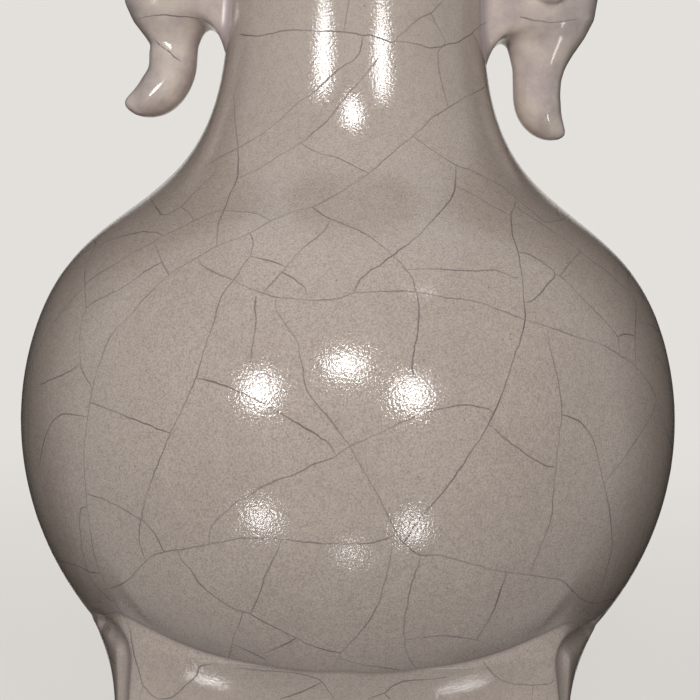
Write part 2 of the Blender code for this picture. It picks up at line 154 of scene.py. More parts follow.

# Crackle lines followed in the photograph, each a row of x,y in its frame
BELLY_CRACKS = """
44,338 50,328 60,314 70,302 80,291 88,282 100,273 114,265 128,256 140,249 154,242 162,236 176,230 194,221 204,216 217,211 232,211 246,212 258,214 271,221
485,87 478,91 464,98 448,108 432,118 420,130 398,148 382,162 368,174 350,186 334,196 312,207 296,211 271,221 250,233 236,239 217,246 198,257 170,274 150,293 140,303 132,314 117,328 108,341 101,360 95,378 90,402 85,438 84,460 86,494 89,522 92,542 96,560 107,588 118,607 126,619
98,245 116,238 128,235 140,232 150,232 158,233 163,236
154,241 158,252 162,262 169,275
162,262 146,271 134,280 120,289 108,295 96,301 86,308
89,258 85,270 85,288 86,308 82,320 80,336 80,352 81,366 86,378 92,387
80,364 70,371 60,376 50,380 40,385
87,417 76,415 64,414 56,418 50,426 45,438 42,450 39,468
90,402 100,406 116,412 130,418 144,423 158,429 170,433
250,233 253,242 250,256 242,267 236,277 224,292 218,306 214,322 208,338 203,354 196,378 190,392 182,410 170,434 164,449 154,474 149,488 145,502 141,520 139,536 141,548 146,561
250,256 262,259 274,262 286,267
331,219 322,233 302,249 286,267 282,272 271,284 263,293
282,272 294,279 303,286 307,294 307,300
198,257 201,264 210,270 220,275 234,280 246,287 263,293 274,297 286,298 307,300 324,300 340,298 354,293 370,292 400,291 414,292 434,295 448,298 468,300 484,304 500,310 526,320 546,326 580,338 598,343 618,354 636,367 648,382 656,398 655,405 650,418 640,434 625,457 618,466 604,483
256,296 255,308 256,324 253,342 251,358 250,364
275,298 277,312 284,322 290,331 297,341 300,356 303,370 305,384 310,396 322,410 332,422 340,433 350,447 360,465 377,494 390,520 397,534 402,541 410,549 421,555 434,555 448,557 464,562 480,566 493,570 507,572 529,575 556,579 564,582 572,590 580,598 588,602 598,603 608,600 618,599
195,378 206,380 220,384 240,392 262,403 280,413 300,425 312,432 328,443 336,455
210,544 209,534 214,523 224,513 236,503 250,495 262,487 280,479 296,474 310,466 324,461 336,456 350,446 364,440 384,431 414,417 440,409 464,405 480,407 488,409 494,413
312,207 320,213 331,219 348,226 360,231 380,244 393,256 402,264 407,271 413,280 415,288 418,300 419,316 417,336 412,364 414,378
456,165 455,186 452,197 442,210 430,223 418,236 404,247 393,255 380,265 366,274 358,283 354,293
407,270 420,269 436,269 452,270 476,271 492,270 504,273 512,277 521,278
455,186 470,193 481,199 490,205 502,211 511,216
516,201 514,207 511,216 512,230 514,240 518,252 522,276 524,302 525,320 521,338 516,352 510,370 504,389 494,413 488,425 480,439 470,453 460,469 440,496 425,512 412,530 404,543
516,206 526,214 542,224 552,231 566,240 580,251 594,262 610,274 620,284 630,292 635,300 636,316 635,336 636,367
413,136 422,143 438,154 456,165 470,170 486,178 500,185 510,193 522,203 530,210 540,218 545,222 556,221 564,219
518,252 530,255 542,262 555,274 546,286 538,296 530,302 524,302
580,252 570,263 560,276
555,274 561,277 570,285 580,296 592,308 604,320 617,336 619,345 620,355
617,337 626,334 635,336
547,328 549,342 553,360 558,380 561,400 562,415 560,430 556,467 553,496 552,514 548,528 540,548 535,560 529,575
562,415 570,417 580,422 588,431 594,442 597,454 600,467 607,498 610,514 612,546 609,560 605,576 599,592 592,602 579,614
490,425 502,436 516,447 532,458 544,465 555,467
87,494 100,498 114,504 128,512 141,520 152,530 158,540 164,552
107,589 120,585 131,577 140,567 146,561 154,555 164,552 177,550 190,548 210,544 232,540 246,538 281,539 296,541 316,543 340,544 370,543 388,538 397,534
177,550 182,560 192,572 200,584 210,593 220,600 232,608 250,614 264,622 280,630 296,638 310,645 326,650 341,653
281,539 278,549 271,564 265,576 261,590 256,602 251,613
243,612 239,624 234,636 230,652 228,661
232,644 246,650 261,657 268,663
296,638 286,644 274,649 263,654
87,507 82,508 80,513 80,530 82,548 86,564 90,577 97,587 106,596 114,602
61,561 72,564 82,568 90,572 100,573
100,617 106,614 116,612 122,613 126,619
393,540 391,554 388,570 383,588 380,600 372,616 362,630 350,643 341,653 338,659 332,669
339,658 360,664 380,667 400,670
421,555 419,563 415,574 410,590 407,608 404,622 405,644 409,658 417,669
405,640 420,638 436,636 450,636 464,638 477,640 486,644 500,649
507,572 502,586 496,604 490,618 480,634 477,640
"""
NECK_CRACKS = """
239,34 254,36 270,34 282,31 298,30 316,31 344,32 362,35 374,36 392,43
349,0 347,12 344,32
362,35 361,48 356,58 342,67 330,77 313,93 300,101 286,114 270,128 254,139 238,148 224,155 203,167
378,58 374,64 361,80 350,92 340,104 328,120 314,132 301,143 280,155 260,168 237,179
301,143 310,149 322,154 338,158 354,166 368,173
392,43 406,30 420,18 431,13 440,4 444,0
431,13 436,24 441,33 445,43 439,50 438,60 440,76 443,88 448,106
392,42 406,42 420,45 432,48 446,45 460,41 472,33 480,26 487,22
472,33 478,44 482,57
234,94 235,120 238,148 238,170 237,179 231,192 224,210 219,222 217,235 217,246
154,204 158,210 164,215 181,207 190,197 200,187 210,178 216,170
181,207 188,212 194,220
"""
FOOT_CRACKS = """
126,621 130,630 132,643 135,658 139,671 143,685 152,695 158,699
143,685 141,693 139,699
158,699 170,698 183,688 195,677 200,667 212,664
233,668 246,669 268,671 286,672 300,674 312,677 321,681 328,690 334,699
322,682 310,688 293,695 280,699
447,677 433,679 418,680 405,681 393,686 384,693 373,697 368,699
384,693 390,699
579,620 578,630
483,661 487,667 497,677 510,683 533,685 548,684 555,680
533,685 532,699
462,692 470,699
"""
HANDLE_CRACKS = """
138,19 150,16 163,15 175,16 188,17 200,19
154,39 160,45 168,51 175,57 181,62
520,17 534,20 546,22 560,22 570,20 578,19
"""
SIDE_FOLDS = """
100,621 106,624 110,630 118,640 122,650 123,660 122,680 121,699
598,622 589,630 578,640 568,648 564,660 565,680 566,699
"""


# Shape helpers

def read_lines(text):
    """Lines of x,y pairs as lists of number pairs."""
    return [[tuple(float(n) for n in pair.split(",")) for pair in line.split()]
            for line in text.strip().splitlines()]


def mesh_piece(name, verts, faces, normals=None):
    mesh = bpy.data.meshes.new(name)
    mesh.from_pydata([tuple(v) for v in verts], [], [tuple(f) for f in faces])
    mesh.update()
    mesh.shade_smooth()
    if normals is not None:
        mesh.normals_split_custom_set_from_vertices([tuple(n) for n in normals])
    made = bpy.data.objects.new(name, mesh)
    bpy.context.scene.collection.objects.link(made)
    return made


def set_attribute(piece, name, values):
    layer = piece.data.attributes.new(name, "FLOAT", "POINT")
    layer.data.foreach_set("value", np.asarray(values, np.float32))


def read_vectors(mesh, name):
    """One vector of each vertex, such as its place or its normal, as an array's rows."""
    values = np.empty(len(mesh.vertices) * 3)
    mesh.vertices.foreach_get(name, values)
    return values.reshape(-1, 3)


def soft_step(value, low, high):
    t = np.clip((value - low) / (high - low), 0, 1)
    return t * t * (3 - 2 * t)


# The body's outline

def bezier(a, b, c, d, t):
    u = 1 - t
    return u ** 3 * a + 3 * u * u * t * b + 3 * u * t * t * c + t ** 3 * d


def outline_above():
    """Radius and height from the equator up to the mouth's edge, closely spaced."""
    start = SHOULDER_START
    radius = BELLY_RADIUS * sqrt(1 - (start / BELLY_RISE) ** 2)
    lean = (BELLY_RADIUS / BELLY_RISE) ** 2 * start / radius
    length = hypot(lean, 1)
    low = np.array([radius, EQUATOR + start])
    low_pull = low + np.array([-lean, 1]) / length * SHOULDER_PULL
    high = np.array([NECK_RADIUS, EQUATOR + NECK_START])
    high_pull = high - np.array([0, NECK_PULL])
    rise = np.linspace(0, start, 16)[:-1]
    belly = np.stack([BELLY_RADIUS * np.sqrt(1 - (rise / BELLY_RISE) ** 2), EQUATOR + rise], 1)
    shoulder = np.array([bezier(low, low_pull, high_pull, high, t) for t in np.linspace(0, 1, 80)])
    base = EQUATOR + NECK_START + NECK_LENGTH
    neck = np.array([[NECK_RADIUS, base - NECK_LENGTH * (1 - t)] for t in np.linspace(0, 1, 18)[1:-1]])
    out = MOUTH_RADIUS - NECK_RADIUS
    sweep = (MOUTH_HEIGHT ** 2 + out ** 2) / (2 * out)
    up = MOUTH_HEIGHT * np.linspace(0, 1, 20)
    mouth = np.stack([NECK_RADIUS + sweep - np.sqrt(sweep ** 2 - up ** 2), base + up], 1)
    return np.concatenate([belly, shoulder, neck, mouth])


ABOVE = outline_above()


def lower_belly_radius(height):
    drop = EQUATOR - height
    return BELLY_RADIUS * np.sqrt(np.maximum(0.0, 1 - (drop / BELLY_DROP) ** 2))


def belly_radius(height):
    """The thrown body's outer radius at any height, without the foot."""
    upper = np.interp(height, ABOVE[:, 1], ABOVE[:, 0])
    return np.where(height < EQUATOR, lower_belly_radius(height), upper)


# The foot's plan and wall

def draw_in(height, seam_drop, waist_drop, waist_in, flare, curve):
    drop = EQUATOR - height
    part = np.clip((waist_drop - drop) / (waist_drop - seam_drop), 0, 1)
    low = np.clip((drop - waist_drop) / (EQUATOR - waist_drop), 0, 1)
    return waist_in * (1 - part ** curve) - flare * low ** 2


def foot_radius(azimuth, height):
    """The foot's outer radius at angles from the middle of a lobe and at heights."""
    lobe = lower_belly_radius(EQUATOR - LOBE_SEAM_DROP) - draw_in(
        height, LOBE_SEAM_DROP, LOBE_WAIST_DROP, LOBE_WAIST_IN, LOBE_FLARE, LOBE_CURVE)
    corner = lower_belly_radius(EQUATOR - CORNER_SEAM_DROP) - draw_in(
        height, CORNER_SEAM_DROP, CORNER_WAIST_DROP, CORNER_WAIST_IN, CORNER_FLARE, CORNER_CURVE)
    half = corner / sqrt(2)
    across, deep = np.abs(np.sin(azimuth)), np.cos(azimuth)
    low, high = lobe / 2 + 0 * across, 2 * lobe + 0 * across
    for _ in range(FOOT_HALVINGS):
        radius = (low + high) / 2
        front = radius * deep - lobe + (lobe - half) * (radius * across / half) ** LOBE_BULGE
        side = radius * across - lobe + (lobe - half) * (radius * deep / half) ** LOBE_BULGE
        inside = (front + side + np.hypot(front - side, CORNER_SOFTNESS)) / 2 < 0
        low, high = np.where(inside, radius, low), np.where(inside, high, radius)
    return low


def seam_height(azimuth, inset=0.0):
    """Where the foot's wall leaves the belly, for each angle."""
    low = np.full_like(azimuth, EQUATOR - FLOOR_DROP)
    high = np.full_like(azimuth, EQUATOR - CORNER_SEAM_DROP / 2)
    for _ in range(SEAM_HALVINGS):
        middle = (low + high) / 2
        outside = foot_radius(azimuth, middle) - inset > lower_belly_radius(middle)
        low, high = np.where(outside, middle, low), np.where(outside, high, middle)
    return low


def soft_width(azimuth_from_front):
    """The crease is crisp under the lobes and runs out softly round the corners."""
    away = np.abs(azimuth_from_front - CORNER_MIDDLE) / CORNER_HALF
    return SEAM_GLAZE + (CORNER_GLAZE - SEAM_GLAZE) * (1 - soft_step(away, *CORNER_FADES))


def skin_radius(lobe_azimuth, turn_azimuth, height):
    """The glazed outside: the larger of belly and foot, with glaze in the crease between them."""
    from_front = np.abs((turn_azimuth + pi / 2) % pi - pi / 2)
    width = soft_width(from_front)
    belly, foot = belly_radius(height), foot_radius(lobe_azimuth, height)
    no_foot_above = EQUATOR - CORNER_SEAM_DROP / 2
    below = soft_step(height, no_foot_above, EQUATOR - CORNER_SEAM_DROP)
    joined = (belly + foot + np.hypot(belly - foot, width)) / 2
    crease = np.exp(-((belly - foot) / (CREASE_REACH * width)) ** 2)
    joined = joined - width / 2 * crease * CREASE_BACK
    return np.where(height > no_foot_above, belly, belly + (joined - belly) * below)


QUARTER_COLUMNS = 156


def column_angles():
    """Angles round the vase from the front, and each one's angle from its lobe's middle."""
    quarter = pi / 4 * np.sin(pi / 2 * (2 * np.arange(QUARTER_COLUMNS) / QUARTER_COLUMNS - 1))
    turns = np.concatenate([quarter + k * pi / 2 for k in range(4)])
    return turns, np.tile(quarter, 4)


def row_of_points(radius, height, turns):
    level = np.broadcast_to(height, radius.shape)
    return np.stack([radius * np.sin(turns), -radius * np.cos(turns), level], -1)


def grid_normals(points):
    """Normals of a grid of rows that closes round the vase, pointing outwards for rows that fall."""
    round_way = np.roll(points, -1, 1) - np.roll(points, 1, 1)
    down = np.empty_like(points)
    down[1:-1] = points[2:] - points[:-2]
    down[0], down[-1] = points[1] - points[0], points[-1] - points[-2]
    normals = np.cross(down, round_way)
    length = np.linalg.norm(normals, axis=-1, keepdims=True)
    return normals / np.maximum(length, 1e-12)


def grid_faces(rows, columns, close=False):
    faces = []
    for r in range(rows if close else rows - 1):
        a, b = r * columns, (r + 1) % rows * columns
        for c in range(columns):
            n = (c + 1) % columns
            faces.append((a + c, b + c, b + n, a + n))
    return faces


def offset_inside(points, distance):
    """A falling outline moved towards the axis by a wall's thickness."""
    step = np.gradient(points, axis=0)
    step /= np.linalg.norm(step, axis=1, keepdims=True)
    return points + np.stack([step[:, 1], -step[:, 0]], 1) * distance


def outer_grid(turns, lobes):
    """The glazed outside from the mouth's edge to the foot's lower edge, and its seam row."""
    upper = ABOVE[::-1][::2]
    seam = seam_height(lobes)
    rows = [row_of_points(np.full_like(turns, r), z, turns) for r, z in upper]
    belly_rows, foot_rows = 46, 56
    for i in range(1, belly_rows + 1):
        share = 1 - (1 - i / belly_rows) ** 1.35
        height = EQUATOR + (seam - EQUATOR) * share
        rows.append(row_of_points(skin_radius(lobes, turns, height), height, turns))
    seam_row = len(rows) - 1
    for i in range(1, foot_rows + 1):
        share = (i / foot_rows) ** 1.3
        height = seam * (1 - share) + EDGE_RISE * share
        rows.append(row_of_points(skin_radius(lobes, turns, height), height, turns))
    return np.array(rows), seam_row


# The photograph's view

def make_camera():
    data = bpy.data.cameras.new("photograph_view")
    camera = bpy.data.objects.new("photograph_view", data)
    bpy.context.scene.collection.objects.link(camera)
    data.sensor_width = SENSOR
    data.lens = SENSOR * FOCUS / PICTURE
    data.shift_x = CAMERA_SHIFT
    data.clip_start = 0.01
    place = AIM + CAMERA_DISTANCE * Vector((0, -cos(CAMERA_RISE), sin(CAMERA_RISE)))
    turn = (AIM - place).to_track_quat("-Z", "Y").to_matrix().to_4x4()
    camera.matrix_world = Matrix.Translation(place) @ turn @ Matrix.Rotation(CAMERA_ROLL, 4, "Z")
    bpy.context.scene.camera = camera
    return camera


def sight_line(camera, x, y):
    """The direction from the camera through a point of the photograph's frame."""
    middle = PICTURE / 2
    aside = (x - middle) / PICTURE + CAMERA_SHIFT
    local = Vector((aside, (middle - y) / PICTURE, -FOCUS / PICTURE))
    return (camera.matrix_world.to_3x3() @ local).normalized()


def off_picture(camera, place):
    local = camera.matrix_world.inverted() @ place
    middle = PICTURE / 2
    x = middle + PICTURE * (local.x / -local.z * FOCUS / PICTURE - CAMERA_SHIFT)
    y = middle - PICTURE * (local.y / -local.z * FOCUS / PICTURE)
    return not (0 <= x <= PICTURE and 0 <= y <= PICTURE)


def seen_point(camera, tree, x, y):
    """The point of the skin behind a point of the photograph, moved inwards at the silhouette."""
    eye = camera.matrix_world.translation
    for _ in range(SEARCH_PIXELS):
        place, normal, _, _ = tree.ray_cast(eye, sight_line(camera, x, y))
        if place:
            return place, normal
        x += 1.0 if x < PICTURE / 2 else -1.0
    return None


def smooth_line(points, step):
    """A rounded run of points through the given ones, about one step apart."""
    pts = np.array(points, float)
    ends = np.concatenate([[2 * pts[0] - pts[1]], pts, [2 * pts[-1] - pts[-2]]])
    out = []
    for i in range(len(pts) - 1):
        a, b, c, d = ends[i:i + 4]
        count = max(1, int(np.linalg.norm(c - b) / step + 0.5))
        for k in range(count):
            t = k / count
            out.append(0.5 * (2 * b + (c - a) * t + (2 * a - 5 * b + 4 * c - d) * t * t
                              + (3 * b - 3 * c + d - a) * t ** 3))
    out.append(pts[-1])
    return out


def grid_tree(points):
    flat = [Vector(p) for p in points.reshape(-1, 3)]
    return BVHTree.FromPolygons(flat, grid_faces(*points.shape[:2]))


def groove_marks(points, camera):
    """Spots along the folds at the ends of the side lobes, front and back alike."""
    tree = grid_tree(points)
    marks = []
    for line in read_lines(SIDE_FOLDS):
        found = [seen_point(camera, tree, x, y)[0] for x, y in smooth_line(line, 2)]
        # Below the picture each fold runs on straight to the table
        last, before = found[-1], found[-6]
        slope = (last - before) / max(1e-6, before.z - last.z)
        while last.z > 0:
            last = last + slope * GROOVE_STEP
            found.append(last)
        marks += found + [Vector((p.x, -p.y, p.z)) for p in found]
    return marks


def cut_grooves(points, normals, camera):
    """Presses the folds of the side lobes into the foot."""
    marks = groove_marks(points, camera)
    near = KDTree(len(marks))
    for i, mark in enumerate(marks):
        near.insert(mark, i)
    near.balance()
    low = points[..., 2] < EQUATOR - CORNER_SEAM_DROP * 0.8
    folds = np.zeros(points.shape[:2])
    for r, c in zip(*np.nonzero(low)):
        away = near.find(Vector(points[r, c]))[2]
        if away < 4 * GROOVE_WIDTH:
            folds[r, c] = np.exp(-(away / GROOVE_WIDTH) ** 2)
            points[r, c] -= normals[r, c] * GROOVE_DEPTH * folds[r, c]
    return points, folds


def inside_outline():
    """The inside of the wall, from the mouth's edge down to the vase's floor."""
    outline = ABOVE[::-1]
    inside_top = offset_inside(outline, NECK_WALL)
    wall = np.interp(outline[:, 1], [WALL_THINS, EQUATOR + NECK_START], [BELLY_WALL, NECK_WALL])
    inside = outline + (inside_top - outline) / NECK_WALL * wall[:, None]
    low = EQUATOR - (EQUATOR - LOWEST_INSIDE) * np.sin(np.linspace(0, pi / 2, 22))[1:]
    low_outline = np.stack([lower_belly_radius(low), low], 1)
    low_inside = offset_inside(low_outline, BELLY_WALL)
    inside = np.concatenate([inside[::2], low_inside])
    return inside[inside[:, 1] > VASE_FLOOR + 0.001]


def lip_outline(outer, inner):
    """The rounded lip: a half circle from the wall's outer edge to its inner one."""
    middle, half = (outer + inner) / 2, (outer - inner) / 2
    up = np.array([-half[1], half[0]])
    return [middle + half * cos(pi * k / 9) + up * sin(pi * k / 9) for k in range(1, 9)]


def body_rows(points, normals, seam_row, turns):
    """The body's rows from the middle of its floor, over the lip and down the outside to the middle
    of its underside, with their normals and the number of rows before the outside."""
    def ring(radius, height):
        return row_of_points(np.full_like(turns, radius), height, turns)

    inside = inside_outline()
    lip = lip_outline(ABOVE[-1], inside[0])
    bowl = [(inside[-1][0] * s, VASE_FLOOR + FLOOR_CURVE * s ** 6)
            for s in (0.94, 0.85, 0.7, 0.5, 0.25, 0.02)]
    before = np.array([ring(r, z) for r, z in [*lip, *inside, *bowl][::-1]])
    seam = points[seam_row][:, 2]
    under = []
    for share in (0.10, 0.35, 0.7, 1.0):
        height = seam - UNDER_GAP + (UNDERSIDE - seam) * share
        under.append(row_of_points(lower_belly_radius(height) - UNDER_GAP, height, turns))
    edge = lower_belly_radius(np.array(UNDERSIDE))
    under += [ring(edge * s, UNDERSIDE) for s in (0.8, 0.5, 0.25, 0.02)]
    rows = np.concatenate([before, points[:seam_row + 1], np.array(under)])
    row_normals = grid_normals(rows)
    first = len(before)
    row_normals[first + 3:first + seam_row] = normals[3:seam_row]
    row_normals[first + seam_row] = normals[seam_row - 1]
    return rows, row_normals, first


def part_at_neck(rows, normals, first):
    """The body's and the neck's skins. They part a little below the neck's joint, where slip and
    glaze fair it into the shoulder."""
    within = int(np.argmax(rows[:first, 0, 2] > NECK_SKIN_END))
    without = first + int(np.argmax(rows[first:, 0, 2] < NECK_SKIN_END))
    joint = (rows[within] + rows[without])[None] / 2
    lift = np.array([0, 0, JOINT_LIFT])
    upright = np.broadcast_to(np.array([0.0, 0.0, 1.0]), joint.shape)
    neck = skin_piece("thrown_neck", np.concatenate([rows[within:without + 1], joint + lift]),
                      np.concatenate([normals[within:without + 1], -upright]), ring_section=True)
    body = skin_piece("thrown_body", np.concatenate([rows[:within + 1], joint - lift, rows[without:]]),
                      np.concatenate([normals[:within + 1], upright, normals[without:]]))
    return body, neck


def foot_rows(outside, turns, lobes):
    """The foot's rows: the outside below the seam, a rounded standing edge and the hollow."""
    seam, base = outside[0][:, 2], outside[-1]
    radius = np.hypot(base[:, 0], base[:, 1])
    inner = radius - FOOT_WALL
    rows = [row_of_points(radius - EDGE_IN * (1 - cos(a)), EDGE_RISE * (1 - sin(a)), turns)
            for a in np.linspace(0, pi / 2, 4)[1:]]
    rows.append(row_of_points((radius + inner) / 2, 0.0, turns))
    rows += [row_of_points(inner + EDGE_IN * (1 - cos(a)), EDGE_RISE * (1 - sin(a)), turns)
             for a in np.linspace(pi / 2, 0, 4)]
    top = seam_height(lobes, FOOT_WALL)
    for share in np.linspace(0, 1, 14)[1:]:
        height = EDGE_RISE + (top - EDGE_RISE) * share
        rows.append(row_of_points(foot_radius(lobes, height) - FOOT_WALL, height, turns))
    for share in (0.3, 0.7):
        height = top + (seam - top) * share
        rows.append(row_of_points(lower_belly_radius(height) - 2 * UNDER_GAP, height, turns))
    return np.concatenate([outside, np.array(rows)])


def body_and_foot(camera):
    """The thrown body, the neck and the foot as closed skins that share rows where they meet."""
    turns, lobes = column_angles()
    points, seam_row = outer_grid(turns, lobes)
    points, folds = cut_grooves(points, grid_normals(points), camera)
    normals = grid_normals(points)
    body, neck = part_at_neck(*body_rows(points, normals, seam_row, turns))
    rows = foot_rows(points[seam_row:], turns, lobes)
    shared = len(points) - seam_row
    row_normals = grid_normals(rows)
    row_normals[:shared - 1] = normals[seam_row:-1]
    row_normals[0] = normals[seam_row + 1]
    foot = skin_piece("lobed_foot_ring", rows, row_normals, ring_section=True)
    in_fold = np.zeros(rows.shape[:2])
    in_fold[:shared] = folds[seam_row:]
    return body, neck, foot, points, normals, in_fold.ravel()


def skin_piece(name, points, normals, ring_section=False):
    """A closed piece from rows: a ring section closes on itself, another closes at two poles."""
    rows, columns = points.shape[:2]
    verts = points.reshape(-1, 3)
    faces = grid_faces(rows, columns, close=ring_section)
    flat = normals.reshape(-1, 3)
    if not ring_section:
        ends = [points[0].mean(0), points[-1].mean(0)]
        verts = np.concatenate([verts, ends])
        flat = np.concatenate([flat, [(0, 0, 1), (0, 0, -1)]])
        first, last = len(verts) - 2, len(verts) - 1
        start = (rows - 1) * columns
        faces += [(first, c, (c + 1) % columns) for c in range(columns)]
        faces += [(last, start + (c + 1) % columns, start + c) for c in range(columns)]
    return mesh_piece(name, verts, faces, flat)


# The handles

def trunk_stations(side):
    """The hanging trunk from its root to its tip: inner point, outer point and half depth."""
    middle = NECK_RADIUS + TRUNK_REACH
    turn = EQUATOR + BEND[side]
    straight = EQUATOR + ARCH[side] - ROOT[side] - turn
    length = straight + TRUNK_BEND_RADIUS * CURL[side]
    stations = []
    for i in range(TRUNK_STATIONS):
        along = length * sin(pi / 2 * i / TRUNK_STATIONS)
        blunt = sin(pi / 2 * min(1.0, (length - along) / TRUNK_TIP_LENGTH)) ** TRUNK_BLUNTNESS
        radius = TRUNK_RADIUS * blunt * (1 + TRUNK_SPREAD * (1 - along / length))
        angle = max(0.0, (along - straight) / TRUNK_BEND_RADIUS)
        r = middle + TRUNK_BEND_RADIUS * (1 - cos(angle))
        z = turn + max(0.0, straight - along) - TRUNK_BEND_RADIUS * sin(angle)
        lean = Vector((cos(angle), 0, sin(angle))) * radius
        swell = TRUNK_SWELL * sin(pi * min(1.0, along / length * TRUNK_SWELL_END))
        depth = radius * (TRUNK_DEPTH + swell)
        stations.append((Vector((r, 0, z)) - lean, Vector((r, 0, z)) + lean, depth))
    tip = Vector((middle + TRUNK_BEND_RADIUS * (1 - cos(CURL[side])), 0,
                  turn - TRUNK_BEND_RADIUS * sin(CURL[side])))
    return stations, tip


def head_stations(side):
    """The head from inside the neck outwards and down to the trunk's root."""
    base = EQUATOR + ARCH[side]
    root, reach = ROOT[side], HEAD_REACH[side]
    trunk = TRUNK_REACH - TRUNK_RADIUS * (1 + TRUNK_SPREAD)
    inner = [(-0.0050, -0.0140), (-0.0019, -0.0106), (0.0002, -0.0066), (0.0013, -0.0030),
             (0.0030, -0.0007), (0.0051, 0.0), (0.0071, -0.0012), (trunk - 0.0010, -root * 0.42),
             (trunk - 0.0002, -root * 0.70)]
    outer = [(0.02, 0.94), (0.30, 1.00), (0.66, 0.92), (0.90, 0.70), (1.00, 0.40), (0.97, 0.20),
             (0.89, 0.045), (0.78, -0.08), (0.725, -0.15)]
    depth = [0.80, 0.92, 1.00, 1.00, 0.96, 0.86, 0.72, 0.60, 0.53]
    stations = []
    for (ir, iz), (share_r, share_z), share in zip(inner, outer, depth):
        drop = share_z * HEAD_HEIGHT if share_z > 0 else share_z * root / ROOT["left"] * HEAD_HEIGHT
        stations.append((Vector((NECK_RADIUS + ir, 0, base + iz)),
                         Vector((NECK_RADIUS + reach * share_r, 0, base + drop)), HEAD_DEPTH * share))
    return stations


def add_band(bm, a, b):
    """The band of faces between two rings."""
    for k in range(len(a)):
        n = (k + 1) % len(a)
        bm.faces.new((a[k], a[n], b[n], b[k]))


def add_loft(bm, stations, tip, sides=44):
    """A closed skin over oval sections."""
    rings = []
    for inner, outer, depth in stations:
        middle, half = (inner + outer) / 2, (outer - inner) / 2
        ring = []
        for k in range(sides):
            angle = 2 * pi * k / sides
            ring.append(bm.verts.new(middle + half * cos(angle) + Vector((0, depth * sin(angle), 0))))
        rings.append(ring)
    for a, b in zip(rings, rings[1:]):
        add_band(bm, a, b)
    bm.faces.new(rings[0][::-1])
    point = bm.verts.new(tip)
    last = rings[-1]
    for k in range(sides):
        bm.faces.new((last[k], last[(k + 1) % sides], point))


def add_pebble(bm, middle, size, lean=0.0):
    """A rounded lump, for an eye or a brow, turned in the head's side view."""
    turn = Matrix.Translation(middle) @ Matrix.Rotation(lean, 4, "Y") @ Matrix.Diagonal((*size, 1))
    bmesh.ops.create_icosphere(bm, subdivisions=3, radius=1, matrix=turn)


def head_half_depth(stations, r, z):
    """The head's half depth at a point of its side view, read off the nearest oval."""
    best = 0.0
    for inner, outer, depth in stations:
        axis = outer - inner
        length = axis.length
        axis.normalize()
        rel = Vector((r, 0, z)) - inner
        along = rel.dot(axis)
        aside = abs(rel.x * axis.z - rel.z * axis.x)
        across = (along - length / 2) / (length / 2)
        if abs(across) < 1 and aside < 0.004:
            best = max(best, depth * sqrt(1 - across ** 2))
    return best


def ear_ring(side, stations, share, front):
    """One oval of the ear's front, or of its back, which lies in the cheek."""
    spots = []
    for k in range(EAR_SIDES):
        angle = 2 * pi * k / EAR_SIDES
        x, y = cos(angle) * share, sin(angle) * share
        narrow = 1 - 0.22 * (1 - y) / 2
        r = NECK_RADIUS + EAR_REACH + x * EAR_WIDTH * narrow - y * EAR_LEAN
        z = EQUATOR + ARCH[side] + EAR_RISE + y * EAR_LENGTH
        cheek = head_half_depth(stations, r, z)
        rise = EAR_THICKNESS * (0.62 + 0.38 * share ** 3) * sqrt(max(0.0, 1 - share ** 8))
        rise += EAR_FREE * max(0.0, -y) * share
        spots.append((r, cheek + rise if front else cheek - EAR_SUNK + EAR_RIM * (share > 0.99), z))
    return spots


def add_ear(bm, side, stations, sign):
    """An egg-shaped ear lying on the cheek, its rim raised and its lower end free."""
    edges = []
    for front in (True, False):
        rings = []
        for j in range(1, EAR_RINGS + 1):
            spots = ear_ring(side, stations, j / EAR_RINGS, front)
            rings.append([bm.verts.new((r, sign * depth, z)) for r, depth, z in spots])
        for a, b in zip(rings, rings[1:]):
            add_band(bm, a, b)
        bm.faces.new(rings[0] if front else rings[0][::-1])
        edges.append(rings[-1])
    add_band(bm, *edges)


def add_eye(bm, side, stations, sign):
    """An eye on the cheek, with a brow over it."""
    r = NECK_RADIUS + HEAD_REACH[side] * EYE_REACH
    z = EQUATOR + ARCH[side] + HEAD_HEIGHT * EYE_RISE
    y = head_half_depth(stations, r, z)
    add_pebble(bm, (r, sign * (y - EYE_SUNK), z), EYE_SIZE)
    brow = (r - BROW_IN, sign * (y - BROW_SUNK), z + BROW_RISE)
    add_pebble(bm, brow, BROW_SIZE, BROW_LEAN)


def moulded_handle(side):
    """One elephant head and trunk, its ears, eyes and brows run together as glaze does."""
    heads = head_stations(side)
    trunk, tip = trunk_stations(side)
    bm = bmesh.new()
    add_loft(bm, heads + trunk, tip)
    for sign in (1, -1):
        add_ear(bm, side, heads, sign)
        add_eye(bm, side, heads, sign)
    bmesh.ops.recalc_face_normals(bm, faces=bm.faces)
    mesh = bpy.data.meshes.new(f"{side}_elephant_handle")
    bm.to_mesh(mesh)
    bm.free()
    made = bpy.data.objects.new(f"{side}_elephant_handle", mesh)
    bpy.context.scene.collection.objects.link(made)
    remesh = made.modifiers.new("joined", "REMESH")
    remesh.mode = "VOXEL"
    remesh.voxel_size = HANDLE_VOXEL
    soften = made.modifiers.new("glazed_over", "SMOOTH")
    soften.factor = 0.5
    soften.iterations = HANDLE_SMOOTHINGS
    depsgraph = bpy.context.evaluated_depsgraph_get()
    finished = bpy.data.meshes.new_from_object(made.evaluated_get(depsgraph))
    made.modifiers.clear()
    made.data = finished
    finished.name = f"{side}_elephant_handle"
    return made


